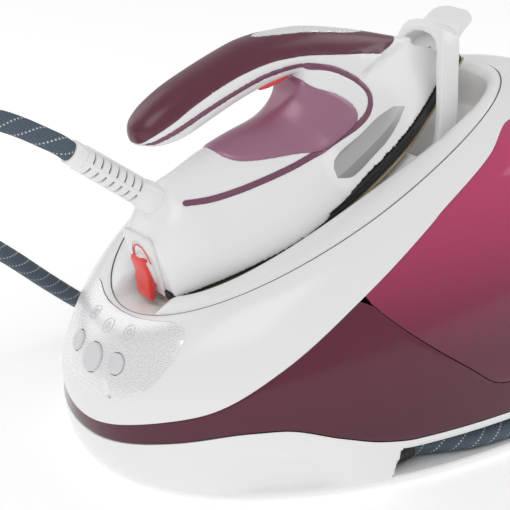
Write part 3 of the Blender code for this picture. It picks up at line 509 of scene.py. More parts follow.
def swept(name, points, radius, sides=16, closed_ends=True):
    """A round tube along points."""
    at = [Vector(p) for p in points]
    count = len(at) - 1
    ways = [(at[min(i + 1, count)] - at[max(i - 1, 0)]).normalized() for i in range(count + 1)]
    side = ways[0].orthogonal().normalized()
    sides_at = []
    for way in ways:
        side = (side - way * side.dot(way)).normalized()
        sides_at.append(side.copy())
    extra = 1 if closed_ends else 0

    def place(i, j):
        a = TURN * i / sides
        k = min(count, max(0, j - extra))
        end = closed_ends and j in (0, count + 2)
        r = 0 if end else radius
        up = ways[k].cross(sides_at[k])
        return at[k] + (sides_at[k] * math.cos(a) + up * math.sin(a)) * r

    return grid(name, sides, count + 2 * extra, place, outward=True)


def plate(name, corners, thickness, place, rounding=0.0, segments=3):
    """A flat outline of (u, v) corners given a thickness; place(u, v, w) puts it in the model."""
    mesh = bpy.data.meshes.new(name)
    form = bmesh.new()
    form.faces.new([form.verts.new(Vector(place(u, v, 0)) * MM) for u, v in corners])
    form.to_mesh(mesh)
    form.free()
    piece = bpy.data.objects.new(name, mesh)
    bpy.context.scene.collection.objects.link(piece)
    thicken(piece, thickness, rounding, segments, offset=0)
    weld(piece, outward=True)
    return piece


def settle(piece, body, look, slot, *nodes, smooth=32):
    """Gives a piece its finish, hides the solids it stands for and hangs it on the body it moves with."""
    pick(piece)
    bpy.ops.object.transform_apply(location=True, rotation=True, scale=True)
    piece.data.materials.clear()
    piece.data.materials.append(look)
    bpy.ops.object.shade_smooth_by_angle(angle=math.radians(smooth))
    if nodes:
        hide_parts(*nodes)
    if body:
        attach(piece, body)
    return piece


# ------------------------------------------------------------------ finishes
def effect(name, inputs, outputs):
    """An empty node group with its sockets."""
    group = bpy.data.node_groups.new(name, "ShaderNodeTree")
    for label, kind, value in inputs:
        made = group.interface.new_socket(name=label, in_out="INPUT", socket_type=kind)
        made.default_value = value
    for label, kind in outputs:
        group.interface.new_socket(name=label, in_out="OUTPUT", socket_type=kind)
    return group, group.nodes.new("NodeGroupInput"), group.nodes.new("NodeGroupOutput")


def node(tree, kind, **values):
    made = tree.nodes.new(kind)
    for key, value in values.items():
        setattr(made, key, value)
    return made


def sum_of(tree, how, a, b=None):
    """A Math node; a and b are sockets or numbers."""
    made = node(tree, "ShaderNodeMath", operation=how)
    for k, value in enumerate((a, b)):
        if value is None:
            continue
        if isinstance(value, (int, float)):
            made.inputs[k].default_value = value
        else:
            tree.links.new(value, made.inputs[k])
    return made.outputs[0]


def noise(tree, place, scale, detail=2.0):
    """A Noise node read at a place; scale is a socket or a number."""
    made = node(tree, "ShaderNodeTexNoise")
    made.inputs["Detail"].default_value = detail
    tree.links.new(place, made.inputs["Vector"])
    if isinstance(scale, (int, float)):
        made.inputs["Scale"].default_value = scale
    else:
        tree.links.new(scale, made.inputs["Scale"])
    return made.outputs[0]


def give_roughness(group, given, out, texture):
    """Roughness between the group's smooth and rough settings, following a texture."""
    spread = node(group, "ShaderNodeMapRange")
    spread.inputs["From Min"].default_value = 0.3
    spread.inputs["From Max"].default_value = 0.7
    group.links.new(texture, spread.inputs["Value"])
    group.links.new(given.outputs["Smooth"], spread.inputs["To Min"])
    group.links.new(given.outputs["Rough"], spread.inputs["To Max"])
    group.links.new(spread.outputs[0], out.inputs["Roughness"])


def brightened(group, colour, brightness):
    """A colour made lighter or darker over the surface."""
    tone = node(group, "ShaderNodeHueSaturation")
    group.links.new(colour, tone.inputs["Color"])
    group.links.new(brightness, tone.inputs["Value"])
    return tone.outputs[0]


SURFACE_OUTPUTS = [("Height", "NodeSocketFloat"), ("Roughness", "NodeSocketFloat"),
                   ("Colour", "NodeSocketColor")]


def build_moulded():
    """Fine moulding texture: height, roughness and a slow drift of tone."""
    group, given, out = effect(
        "moulded_surface",
        [("Grain scale", "NodeSocketFloat", 900.0), ("Smooth", "NodeSocketFloat", 0.2),
         ("Rough", "NodeSocketFloat", 0.3), ("Colour", "NodeSocketColor", (0.8, 0.8, 0.8, 1)),
         ("Tone", "NodeSocketFloat", 0.04)], SURFACE_OUTPUTS)
    place = node(group, "ShaderNodeTexCoord").outputs["Object"]
    group.links.new(noise(group, place, given.outputs["Grain scale"], 3), out.inputs["Height"])
    give_roughness(group, given, out, noise(group, place, 28, 4))
    drift = sum_of(group, "SUBTRACT", noise(group, place, 9), 0.5)
    drift = sum_of(group, "MULTIPLY", drift, given.outputs["Tone"])
    tone = brightened(group, given.outputs["Colour"], sum_of(group, "ADD", drift, 1.0))
    group.links.new(tone, out.inputs["Colour"])
    return group


def build_brushed():
    """Brushed metal drawn out along X."""
    group, given, out = effect(
        "brushed_metal",
        [("Smooth", "NodeSocketFloat", 0.25), ("Rough", "NodeSocketFloat", 0.42),
         ("Colour", "NodeSocketColor", (0.8, 0.8, 0.8, 1))], SURFACE_OUTPUTS)
    place = node(group, "ShaderNodeTexCoord")
    stretch = node(group, "ShaderNodeMapping")
    stretch.inputs["Scale"].default_value = (18, 1500, 1500)
    group.links.new(place.outputs["Object"], stretch.inputs["Vector"])
    lines = noise(group, stretch.outputs[0], 1, 5)
    give_roughness(group, given, out, lines)
    group.links.new(lines, out.inputs["Height"])
    streak = sum_of(group, "ADD", sum_of(group, "MULTIPLY", lines, 0.14), 0.93)
    group.links.new(brightened(group, given.outputs["Colour"], streak), out.inputs["Colour"])
    return group


def build_braid():
    """Woven sleeve on a tube's own map: strands over and under, with scattered pale threads."""
    group, given, out = effect(
        "woven_sleeve",
        [("Around", "NodeSocketFloat", 12.0), ("Along", "NodeSocketFloat", 500.0),
         ("Ground", "NodeSocketColor", (0.1, 0.15, 0.2, 1)),
         ("Fleck", "NodeSocketColor", (0.7, 0.7, 0.7, 1))], SURFACE_OUTPUTS)
    link = group.links.new
    place = node(group, "ShaderNodeTexCoord")
    apart = node(group, "ShaderNodeSeparateXYZ")
    link(place.outputs["UV"], apart.inputs[0])
    across = sum_of(group, "MULTIPLY", apart.outputs[0], given.outputs["Around"])
    along = sum_of(group, "MULTIPLY", apart.outputs[1], given.outputs["Along"])
    one = sum_of(group, "ADD", across, along)
    two = sum_of(group, "SUBTRACT", across, along)
    bumps = []
    for way in (one, two):
        wave = sum_of(group, "SINE", sum_of(group, "MULTIPLY", way, math.pi))
        bumps.append(sum_of(group, "ABSOLUTE", wave))
    weave = sum_of(group, "MULTIPLY", bumps[0], bumps[1])
    link(weave, out.inputs["Height"])
    every = []
    for way, strands in ((one, 8.0), (two, 2.0)):
        place_in_set = sum_of(group, "FLOORED_MODULO", sum_of(group, "FLOOR", way), strands)
        every.append(sum_of(group, "COMPARE", place_in_set, 0.0))
    crest = sum_of(group, "GREATER_THAN", weave, 0.12)
    pale = sum_of(group, "MULTIPLY", sum_of(group, "MULTIPLY", *every), crest)
    # Painted light and shade: the sleeve's colour is lighter on the strands' crests and darker where they
    # dip under each other.
    light = sum_of(group, "ADD", sum_of(group, "MULTIPLY", weave, 0.7), 0.5)
    shade = brightened(group, given.outputs["Ground"], light)
    colour = node(group, "ShaderNodeMix", data_type="RGBA")
    link(pale, colour.inputs[0])
    link(shade, colour.inputs[6])
    link(given.outputs["Fleck"], colour.inputs[7])
    link(colour.outputs[2], out.inputs["Colour"])
    link(sum_of(group, "SUBTRACT", 0.95, sum_of(group, "MULTIPLY", weave, 0.2)), out.inputs["Roughness"])
    return group


EFFECTS = {}


def shared(name):
    """The shared effect of that name, built the first time."""
    if name not in EFFECTS:
        EFFECTS[name] = {"moulded": build_moulded, "brushed": build_brushed, "braid": build_braid}[name]()
    return EFFECTS[name]


def finish_of(name, effect_name, values, depth, **sockets):
    """A material: one shared effect feeding a Principled shader, whose other sockets hold constants."""
    found = bpy.data.materials.get(name)
    if found:
        return found
    look = bpy.data.materials.new(name)
    look.use_nodes = True
    tree = look.node_tree
    shader = tree.nodes["Principled BSDF"]
    for key, value in sockets.items():
        shader.inputs[key.replace("_", " ")].default_value = value
    part = node(tree, "ShaderNodeGroup", node_tree=shared(effect_name))
    for key, value in values.items():
        part.inputs[key].default_value = (*value, 1) if isinstance(value, tuple) else value
    bump = node(tree, "ShaderNodeBump")
    bump.inputs["Strength"].default_value = 1.0
    bump.inputs["Distance"].default_value = depth * MM
    tree.links.new(part.outputs["Height"], bump.inputs["Height"])
    tree.links.new(bump.outputs[0], shader.inputs["Normal"])
    tree.links.new(part.outputs["Roughness"], shader.inputs["Roughness"])
    tree.links.new(part.outputs["Colour"], shader.inputs["Base Color"])
    return look


def moulded(name, colour, smooth=0.2, rough=0.3, grain=900.0, depth=0.01, tone=0.04, **sockets):
    values = {"Grain scale": grain, "Smooth": smooth, "Rough": rough, "Colour": tuple(colour), "Tone": tone}
    return finish_of(name, "moulded", values, depth, **sockets)


def white():
    return moulded("white_gloss", tints().white, 0.16, 0.24, depth=0.006,
                   Coat_Weight=0.35, Coat_Roughness=0.08)


def burgundy():
    return moulded("burgundy_grip", tints().burgundy, 0.28, 0.38, 1400, 0.012,
                   Coat_Weight=0.25, Coat_Roughness=0.2)


def black():
    return moulded("black_moulding", (0.012, 0.012, 0.013), 0.35, 0.5, 1200, 0.02)


def grey():
    return moulded("grey_button", (0.40, 0.41, 0.42), 0.3, 0.42, 1300, 0.012, Coat_Weight=0.2)


def rubbery():
    return moulded("soft_rubber", (0.03, 0.03, 0.032), 0.6, 0.8, 1600, 0.03)


def red():
    return moulded("red_clear", tints().red, 0.1, 0.18, 700, 0.004, Coat_Weight=0.6, Coat_Roughness=0.05)


def brushed(name, colour, smooth, rough, depth=0.01, metal=1.0):
    values = {"Smooth": smooth, "Rough": rough, "Colour": tuple(colour)}
    return finish_of(name, "brushed", values, depth, Metallic=metal)


def silver():
    return brushed("brushed_silver", (0.86, 0.86, 0.87), 0.22, 0.34, 0.0002, 0.35)


def steel():
    return brushed("plain_steel", (0.6, 0.61, 0.63), 0.25, 0.4)


def sole_metal():
    return brushed("sole_metal", tints().sole, 0.2, 0.34, 0.008, 0.95)


def brass():
    return brushed("brass", (0.62, 0.42, 0.16), 0.28, 0.42)


def cast():
    return moulded("cast_alloy", (0.5, 0.5, 0.51), 0.4, 0.6, 260, 0.12, 0.1, Metallic=0.85)


def board():
    return moulded("board_resin", (0.03, 0.16, 0.06), 0.4, 0.55, 500, 0.05, 0.2)


def tint_with_painted_shade(name, high, low, top_z, foot_z, rough):
    """See-through tinted plastic with painted light and shade: lighter towards its top, where light comes
    through, and darker towards its foot.
    """
    found = bpy.data.materials.get(name)
    if found:
        return found
    look = moulded(name, high, rough, rough + 0.08, 700, 0.003, Coat_Weight=0.3, Coat_Roughness=0.05,
                   Specular_IOR_Level=0.35)
    tree = look.node_tree
    shader = tree.nodes["Principled BSDF"]
    place = node(tree, "ShaderNodeTexCoord")
    apart = node(tree, "ShaderNodeSeparateXYZ")
    tree.links.new(place.outputs["Object"], apart.inputs[0])
    # Painted shade: the colour runs from the shaded one at foot_z to the lit one at top_z.
    rise = node(tree, "ShaderNodeMapRange", interpolation_type="SMOOTHSTEP")
    rise.inputs["From Min"].default_value = foot_z * MM
    rise.inputs["From Max"].default_value = top_z * MM
    tree.links.new(apart.outputs[2], rise.inputs["Value"])
    painted_shade_blend = node(tree, "ShaderNodeMix", data_type="RGBA")
    painted_shade_blend.inputs[6].default_value = (*low, 1)
    painted_shade_blend.inputs[7].default_value = (*high, 1)
    tree.links.new(rise.outputs[0], painted_shade_blend.inputs[0])
    tree.links.new(painted_shade_blend.outputs[2], shader.inputs["Base Color"])
    return look


def tank_plastic():
    # Painted light and shade: lighter at the top of the tank, darker at its foot.
    return tint_with_painted_shade("tank_plastic", tints().tank_painted_light, tints().tank_painted_shade, 190, 70, 0.07)


def skirt_plastic():
    # Painted shade: the skirt's colour darkens to 0.7 of itself towards its foot.
    return tint_with_painted_shade("skirt_plastic", tints().skirt, [c * 0.7 for c in tints().skirt], 110, 30, 0.12)


# ------------------------------------------------------------------ base mouldings
def casing(name, low, high, rows, inset=0.0, first=0.0, last=TURN, columns=STATIONS):
    """A sheet of the base's skin between two edges given as heights over y."""
    turns = [first + (last - first) * k / columns for k in range(columns + 1)]
    ends = [(level(t, low, inset), level(t, high, inset) if high else 1.0) for t in turns]

    def place(i, j):
        a, b = ends[i]
        return skin(turns[i], a + (b - a) * j / rows, inset)

    return grid(name, columns, rows, place)


def patch(name, ring, middle, lift, rows=12, scale=1.0):
    """A rounded piece of the skin inside a ring of (t, v) points, lifted off it."""
    columns = len(ring)

    def place(i, j):
        t, v = ring[i % columns]
        share = scale * j / rows
        return skin(mix(middle[0], t, share), mix(middle[1], v, share), -lift)

    made = grid(name, columns, rows, place)
    flip_towards(made, (0, 0, 90))
    return made


def panel_ring(count=120):
    corners = PANEL_HALF + [(-t, v) for t, v in reversed(PANEL_HALF[1:-1])]
    return ring_of(corners, count)


def cutter_patch(ring, middle, scale, out=5, depth=6):
    """A solid standing through the skin, for cutting a hole."""
    tool = patch("tool", ring, middle, out, 10, scale)
    thicken(tool, out + depth)
    weld(tool, outward=True)
    return tool


def make_upper_shell():
    shell = casing("upper_shell_white", lambda y: white_edge(y) + 0.25, None, 34)
    thicken(shell, in_mm(sizes().wall))
    cut(shell, cutter_patch(panel_ring(), (0.0, 0.404), 0.975))
    soften(shell, in_mm(sizes().edge), 3, 60)
    return settle(shell, "base", white(), "white_gloss", "upper_shell")


def make_skirt():
    inset = in_mm(sizes().inset)
    skirt = casing("skirt_band", lambda y: pan_edge(y) + 0.3, lambda y: skirt_top(y) - 0.25, 14, inset)
    thicken(skirt, in_mm(sizes().wall), 0.45, 2)
    hole = turned("tool", (-78, 180, 44), (0, 1, 0), [(0, 8.4), (50, 8.4)], 40)
    cut(skirt, hole)
    return settle(skirt, "base", skirt_plastic(), "skirt_tint", "lower_skirt")


def make_pan():
    """Lower tray: flush at the front, with the open hose channel round its rear half."""
    turns = [TURN * k / STATIONS for k in range(STATIONS + 1)]
    for k in range(28):
        y = -84 + k * 1.2
        c = min(1, abs((GROUND["mid"] - y) / GROUND["front"])) ** (GROUND["nose"] / 2)
        turns += [math.acos(c), TURN - math.acos(c)]
    turns = sorted(turns)
    edges = [level(t, pan_edge) for t in turns]
    inner = [level(t, pan_edge, 2.4) for t in turns]

    def scoop(y, z):
        """Shallow hand-hold under the right and left flanks."""
        along = ease(-178, -150, y) * (1 - ease(-124, -96, y))
        return 5.5 * along * (1 - ease(24, 41, z)) * ease(5, 12, z)

    def on_skin(k, z, inset=0.0):
        v = (z - BELT_Z) / (BELT_Z - FOOT_Z)
        x, y, h = skin(turns[k], v, inset)
        hold = scoop(y, z)
        return skin(turns[k], v, inset + hold) if hold > 0.01 else (x, y, h)

    def open_share(k, z):
        y = outline(GROUND, turns[k])[1]
        start = SLOT_Y + 2 - (CHANNEL_TOP_Z - z) * 0.35
        return ease(start - 1.2, start + 1.2, y)

    rows = [("flat", 5, 4.0), ("flat", 1.4, 4.0), ("flat", 0.35, 4.4), ("skin", 0, 5.4),
            ("skin", 0, 6.6), ("slot", 1.0, 7.2), ("slot", CHANNEL_DEPTH - 1.5, 7.2),
            ("slot", CHANNEL_DEPTH, 9), ("slot", CHANNEL_DEPTH, 14), ("slot", CHANNEL_DEPTH, 20),
            ("slot", CHANNEL_DEPTH, 26.5), ("slot", CHANNEL_DEPTH - 1.5, 28), ("slot", 1.2, 28),
            ("slot", 0, 29)]
    upper = 9

    def place(i, j):
        if j < len(rows):
            kind, inset, z = rows[j]
            if kind == "flat":
                return (*outline(GROUND, turns[i], inset), z)
            if kind == "skin":
                return on_skin(i, z)
            share = open_share(i, z)
            if share == 0:
                return on_skin(i, z)
            flush = Vector(on_skin(i, z))
            deep = Vector((*outline(GROUND, turns[i], inset), z))
            return flush.lerp(deep, share) if inset > 1.3 else on_skin(i, z, inset * share)
        j -= len(rows)
        low = (29 - BELT_Z) / (BELT_Z - FOOT_Z)
        if j < upper:
            v = mix(low, edges[i], (j + 1) / upper)
            x, y, z = skin(turns[i], v)
            hold = scoop(y, z)
            return skin(turns[i], v, hold) if hold > 0.01 else (x, y, z)
        return skin(turns[i], inner[i] - 0.02 - 0.12 * (j - upper), 2.4)

    pan = grid("pan_white", len(turns) - 1, len(rows) + upper + 1, place)

    def underside(i, j):
        x, y = outline(GROUND, turns[i], 5)
        return x * (1 - j / 3), y, 4.0

    base = grid("underside", len(turns) - 1, 3, underside)
    flip_towards(base, (0, 0, 60))
    pan = one_piece("pan_white", [pan, base])
    weld(pan)
    soften(pan, 0.5, 2, 60)
    return settle(pan, "base", white(), "white_gloss", "base_pan")


def pocket_floor(y):
    sloping = HEEL.z + (y - HEEL.y) * math.tan(TILT) - 4 / math.cos(TILT)
    well = 172 + (y - 36) * 0.28
    return mix(sloping, min(sloping, well), ease(10, 17, y))


def make_deck():
    """Rim and pocket that the iron rests in, dipping at the heel and stepping down to the hoop's well."""
    crest = [(0.0, -2.6, 0.3), (0.0, -0.5, 0.3), (0.015, 0.05, 0.5), (0.08, 0.8, 0), (0.18, 1.6, 0),
             (0.30, 2.2, 0), (0.42, 2.45, 0), (0.55, 2.4, 0), (0.68, 2.0, 0), (0.80, 1.2, 0),
             (0.89, 0.2, 0), (0.95, -0.9, 0), (1.0, -2.6, 0)]
    walls = [(0.2, 0.75), (0.4, 0.4), (0.8, 0.16), (2.0, 0.05), (4.5, 0.0)]
    floors = [(0.8, 0.95), (0.55, 0.93), (0.28, 0.91), (0.0, 0.9)]
    turns = [TURN * k / STATIONS for k in range(STATIONS + 1)]

    def dip(x, y, z):
        if y > -150:
            return z
        hollow = 1 - ease(20.5, 26, abs(x))
        return mix(z, min(z, max(104.9, pocket_floor(y))), hollow)

    def place(i, j):
        t = turns[i]
        if j < len(crest):
            share, lift, inset = crest[j]
            ax, ay = outline(RIM, t, max(inset, 0.3))
            bx, by = outline(POCKET, t)
            x, y = mix(ax, bx, share), mix(ay, by, share)
            return x, y, dip(x, y, rim_z(y) + lift)
        j -= len(crest)
        if j < len(walls):
            inset, share = walls[j]
            x, y = outline(POCKET, t, inset)
            top = dip(x, y, rim_z(y) - 3)
            return x, y, mix(pocket_floor(y), max(top, pocket_floor(y)), share)
        across, along = floors[j - len(walls)]
        x, y = outline(POCKET, t, 4.5)
        x, y = x * across, mix(POCKET["mid"], y, along)
        return x, y, pocket_floor(y)

    deck = grid("deck_white", STATIONS, len(crest) + len(walls) + len(floors) - 1, place)
    settle(deck, "base", white(), "white_gloss", "deck_plate", smooth=50)

    def on_floor(x, y, w):
        return x, y, pocket_floor(y) + 0.35 + w

    slots = []
    # Black plates where the hoop goes through the well's floor: their black is painted shade of the open
    # slots.
    for side in (-1, 1):
        ring = squircle((side * 38.5, 46), 4.6, 21, 24, power=4)
        slots.append(plate("hoop_slot", ring, 0.6, on_floor, 0.15, 2))
    rim = [(*outline(RIM, t, 0.05), rim_z(outline(RIM, t)[1]) - 0.15) for t in turns]
    slots.append(swept("seam", rim, 0.34, 8, closed_ends=False))
    slots = one_piece("hoop_slots", slots)
    return settle(slots, "base", black(), "black_plastic")


def make_panel():
    ring = panel_ring()
    panel = patch("panel_silver", ring, (0.02, 0.52), 0.55, 16)
    thicken(panel, 1.8)
    for t, v, radius in BUTTONS.values():
        here, out = Vector(skin(t, v)), skin_normal(t, v)
        cut(panel, turned("tool", here - out * 6, out, [(0, radius + 0.55), (14, radius + 0.55)], 48))
    soften(panel, 0.45, 3, 60)
    settle(panel, "base", silver(), "brushed_panel", "control_panel")
    # Black backing sunk behind the panel: seen only through the gaps round the buttons, its black is
    # painted shade.
    back = patch("panel_back", ring, PANEL_MIDDLE, -4.2, 6, 0.9)
    thicken(back, 1.0)
    settle(back, "base", black(), "black_plastic")
    for name, (t, v, r) in BUTTONS.items():
        here, out = Vector(skin(t, v)), skin_normal(t, v)
        profile = [(0, r - 0.3), (0.3, r), (3.2, r), (3.8, r - 0.15), (4.15, r - 0.6), (4.3, r - 1.3),
                   (4.1, r * 0.5), (4.0, r * 0.2)]
        button = turned(name + "_cap", here - out * 2.4, out, profile)
        settle(button, name.removesuffix("_button"), grey(), "grey_button", name)
    return panel


def make_panel_marks():
    """Ringed signs on the panel, one over each button: steam strokes, a drop and a power sign."""
    marks = []

    def at(t, v, dx, dz):
        here = Vector(skin(t + dx / 128, v + dz / 58))
        return here + skin_normal(t, v) * 0.62

    def mark(spot, radius, points):
        marks.append(swept("mark", [at(*spot, dx, dz) for dx, dz in points], radius, 6))

    def arc(first, last, count):
        return [first + (last - first) * k / count for k in range(count + 1)]

    spots = [(-0.17, 0.70), (0.0, 0.69), (0.17, 0.70)]
    for spot in spots:
        mark(spot, 0.16, [(4.4 * math.cos(a), 4.4 * math.sin(a)) for a in arc(0, TURN, 40)])
    for dx in (-1.6, 0, 1.6):
        mark(spots[0], 0.15, [(dx + 0.5 * math.sin(k * 0.9), -2 + k * 0.4) for k in range(11)])
    drop = [(1.7 * math.sin(a) * math.sin(a / 2), 2.2 * math.cos(a) - 0.2) for a in arc(0, TURN, 28)]
    mark(spots[1], 0.15, drop)
    mark(spots[2], 0.15, [(1.9 * math.sin(a), 1.9 * math.cos(a)) for a in arc(0.6, TURN - 0.6, 24)])
    mark(spots[2], 0.15, [(0, 0.5), (0, 1.6), (0, 2.6)])
    signs = one_piece("panel_marks", marks)
    return settle(signs, "base", grey(), "grey_button")


# ------------------------------------------------------------------ water tank
def tank_turns():
    """The turn where the tank's pointed front end lies, at either side."""
    low, high = 0.6, 2.2
    for _ in range(30):
        mid = (low + high) / 2
        y = skin(mid, level(mid, white_edge))[1]
        low, high = (mid, high) if y < TANK_EDGE[0][0] + 1.5 else (low, mid)
    return low


def make_tank():
    inset = in_mm(sizes().inset)
    first = tank_turns()
    high = lambda y: white_edge(y) - 0.25
    low = lambda y: min(skirt_top(y) + 0.35, high(y) - 0.2)
    shell = casing("tank_shell", low, high, 30, inset, first, TURN - first, 220)
    thicken(shell, in_mm(sizes().wall), 0.45, 2)
    cut(shell, cutter_patch(squircle(LID_MIDDLE, 0.262, 0.113, 64), LID_MIDDLE, 1.0))
    turns = [first + 0.03 + (TURN - 2 * first - 0.06) * k / 150 for k in range(151)]
    ends = [(level(t, lambda y: low(y) + 1.2, 2.6), level(t, lambda y: high(y) - 1.2, 2.6)) for t in turns]

    def bay(x, y, z):
        return min(85, max(-85, x)), min(150.5, y), z

    def inner_side(i, end):
        return Vector(skin(turns[i], ends[i][end], 2.6))

    def shelf(end):
        def place(i, j):
            edge = inner_side(i, end)
            return edge.lerp(Vector(bay(*edge)), j / 4)
        return place

    def liner_place(i, j):
        return Vector(bay(*inner_side(i, 0))).lerp(Vector(bay(*inner_side(i, 1))), j / 6)

    pieces = [grid("tank_liner", 150, 4, shelf(0)), grid("roof", 150, 4, shelf(1)),
              grid("liner", 150, 6, liner_place)]
    liner = one_piece("tank_liner", pieces)
    weld(liner, outward=True)
    settle(liner, "tank", skirt_plastic(), "tank_tint")
    return settle(shell, "tank", tank_plastic(), "tank_tint", "water_tank")


def make_lid():
    lid = patch("tank_lid_cap", squircle(LID_MIDDLE, 0.255, 0.107, 72), LID_MIDDLE, 0.3, 12)
    thicken(lid, 2.2, 0.5, 3)
    tab = patch("tab", squircle((math.pi, 0.405), 0.075, 0.012, 48), (math.pi, 0.405), 2.6, 6)
    thicken(tab, 2.6, 0.8, 3)
    lid = one_piece("tank_lid_cap", [lid, tab])
    return settle(lid, "lid", tank_plastic(), "tank_tint", "tank_lid")


# ------------------------------------------------------------------ iron
def sole_ring(k, n, inset, count=96):
    """Point k of the soleplate's outline at height n, from the heel's right round the tip."""
    start, end = 1.0 + inset * 0.6, SOLE_HALF[-1][0] - inset * 1.4
    half = count // 2
    share = min(k, count - k) / half
    s = start + (end - start) * (0.5 - 0.5 * math.cos(math.pi * share))
    x = max(0.25, smooth_value(SOLE_HALF, s) - inset)
    corner = ease(start - 0.5, start + 5, s)
    x *= 0.88 + 0.12 * corner
    return on_iron(s, x if k <= half else -x, n)


def stack(name, levels, count=96):
    """A closed stack of sole outlines from (height, inset) pairs."""
    def place(i, j):
        k = i % count
        if j == 0 or j == len(levels) + 1:
            n, inset = levels[0] if j == 0 else levels[-1]
            _, y, z = sole_ring(k, n, inset, count)
            return 0, y, z
        n, inset = levels[j - 1]
        return sole_ring(k, n, inset, count)
    return grid(name, count, len(levels) + 1, place, outward=True)


def make_sole():
    sole = stack("sole_metal_plate", [(0.0, 3.6), (0.25, 2.0), (0.9, 0.7), (1.8, 0.1), (3.4, 0.0)])
    settle(sole, "iron", sole_metal(), "sole_metal", "soleplate")
    block = stack("heater_casting", [(8.8, 9), (9.6, 8), (20, 9), (25, 13), (27, 16)], 72)
    settle(block, "iron", cast(), "cast_aluminium", "heater_block")
    band = stack("heat_band", [(3.5, 2.2), (3.7, 1.2), (5.6, 1.2), (5.9, 1.6), (8.2, 1.6), (8.4, 2.4)])
    return settle(band, "iron", black(), "black_plastic", "heat_shield")


def body_foot(s):
    """Height of the white body's lower edge, which rises towards the front to show the heat band."""
    return mix(4.2, 8.6, ease(95, 150, s))


def shell_ring(s, sides=52):
    """A section of the iron's body and of the tower that carries the handle."""
    half = max(1.0, smooth_value(SOLE_HALF, s) - mix(0.5, 2.4, ease(95, 150, s)))
    top = smooth_value(SHELL_TOP, s)
    front = ease(118, 152, s)
    crown = 15 - 9 * ease(155, 235, s)
    crown = min(crown, half * 0.85)
    power = 0.6 + 0.7 * ease(170, 240, s)
    ridged = ease(5, 55, s)
    full, peak = mix(3.2, 1.45, ridged), mix(0.31, 0.72, ridged)
    foot = body_foot(s)
    points = []
    quarter = sides // 2
    for k in range(quarter + 1):
        v = math.sin(k / quarter * math.pi / 2)
        rear = half * max(0, 1 - v ** full) ** peak
        fore = crown + (half - crown) * (1 - v ** power)
        points.append((mix(rear, fore, front), foot + (top - foot) * v))
    return points


def add_loft(name, rings):
    """A closed loft through rings of points, its ends drawn to their middles."""
    count = len(rings[0])
    middles = [sum((Vector(p) for p in ring), Vector()) / count for ring in (rings[0], rings[-1])]

    def place(i, j):
        if j == 0 or j == len(rings) + 1:
            return middles[0 if j == 0 else 1]
        return rings[j - 1][i % count]

    return grid(name, count, len(rings) + 1, place, outward=True)


def iron_forms():
    """Overlapping lofts: body with its tower, handle underside, grip."""
    rings = []
    for s in [3.4, 5, 8, 12, 17, 24] + list(range(32, 250, 6)) + [252, 256, 260, 262.5]:
        side = shell_ring(s)
        lean = 4.5 * (1 - ease(3, 50, s))
        side = [(x, n, s + lean * max(0, n - 8) / 40) for x, n in side]
        ring = [on_iron(at, x, n) for x, n, at in side]
        ring += [on_iron(at, -x, n) for x, n, at in reversed(side)]
        half = side[0][0]
        ring += [on_iron(s, -half + 2 * half * k / 6, body_foot(s)) for k in range(1, 6)]
        rings.append(ring)
    body = add_loft("body", rings)

    def arch(s, low, high, half, power=2.3, sides=26):
        ring = []
        for k in range(sides + 1):
            a = math.pi * k / sides
            c, v = math.cos(a), abs(math.sin(a))
            ring.append(on_iron(s, half * bowed(c, 2 / power), low + (high - low) * v ** (2 / power)))
        for k in range(1, 6):
            ring.append(on_iron(s, -half + 2 * half * k / 6, low))
        return ring

    grip, under = [], []
    for s in [30.2, 31.5, 34] + list(range(38, 240, 6)) + [243, 246.5]:
        low = smooth_value(PARTING, s) - (2 if s < 235 else 1)
        grip.append(arch(s, low, smooth_value(GRIP_TOP, s), smooth_value(GRIP_HALF, s)))
    for s in [30.4, 32, 35] + list(range(38, 160, 6)):
        top = smooth_value(PARTING, s) + 1
        under.append(arch(s, top, smooth_value(GRIP_UNDER, s), smooth_value(GRIP_HALF, s) * 0.995, 2.2))
    neck_levels = [(54, 152, 222, 20), (62, 154, 208, 17.5), (70, 153, 198, 16.4), (78, 150, 186, 16.2),
                   (86, 145, 174, 16.4), (93, 138, 164, 16.4), (99, 130, 152, 16.2)]
    neck = []
    for n, a, b, half in neck_levels:
        ring = []
        for k in range(40):
            t = TURN * k / 40
            c, v = math.cos(t), math.sin(t)
            narrow = 0.5 + 0.5 * ease(-1, 0.35, c)
            ring.append(on_iron((a + b) / 2 + (b - a) / 2 * bowed(c, 0.85),
                                half * narrow * bowed(v, 0.8), n))
        neck.append(ring)
    return [body, add_loft("grip", grip), add_loft("under", under), add_loft("neck", neck)]


def split_along(mesh, measure):
    """Splits a mesh along the line where measure(point) is zero, and gives the measure at each corner."""
    values = {v: measure(v.co / MM) for v in mesh.verts}
    for edge in list(mesh.edges):
        a, b = edge.verts
        p, q = values[a], values[b]
        if (p > 0) != (q > 0) and abs(p - q) > 1e-9:
            share = p / (p - q)
            if share < 0.04 or share > 0.96:
                values[a if share < 0.04 else b] = 0.0
                continue
            _, made = bmesh.utils.edge_split(edge, a, share)
            values[made] = 0.0
    zero = {v for v, value in values.items() if value == 0.0}
    for face in list(mesh.faces):
        on = [v for v in face.verts if v in zero]
        if len(on) == 2 and not any(on[0] in e.verts and on[1] in e.verts for e in face.edges):
            bmesh.utils.face_split(face, on[0], on[1])
    return values


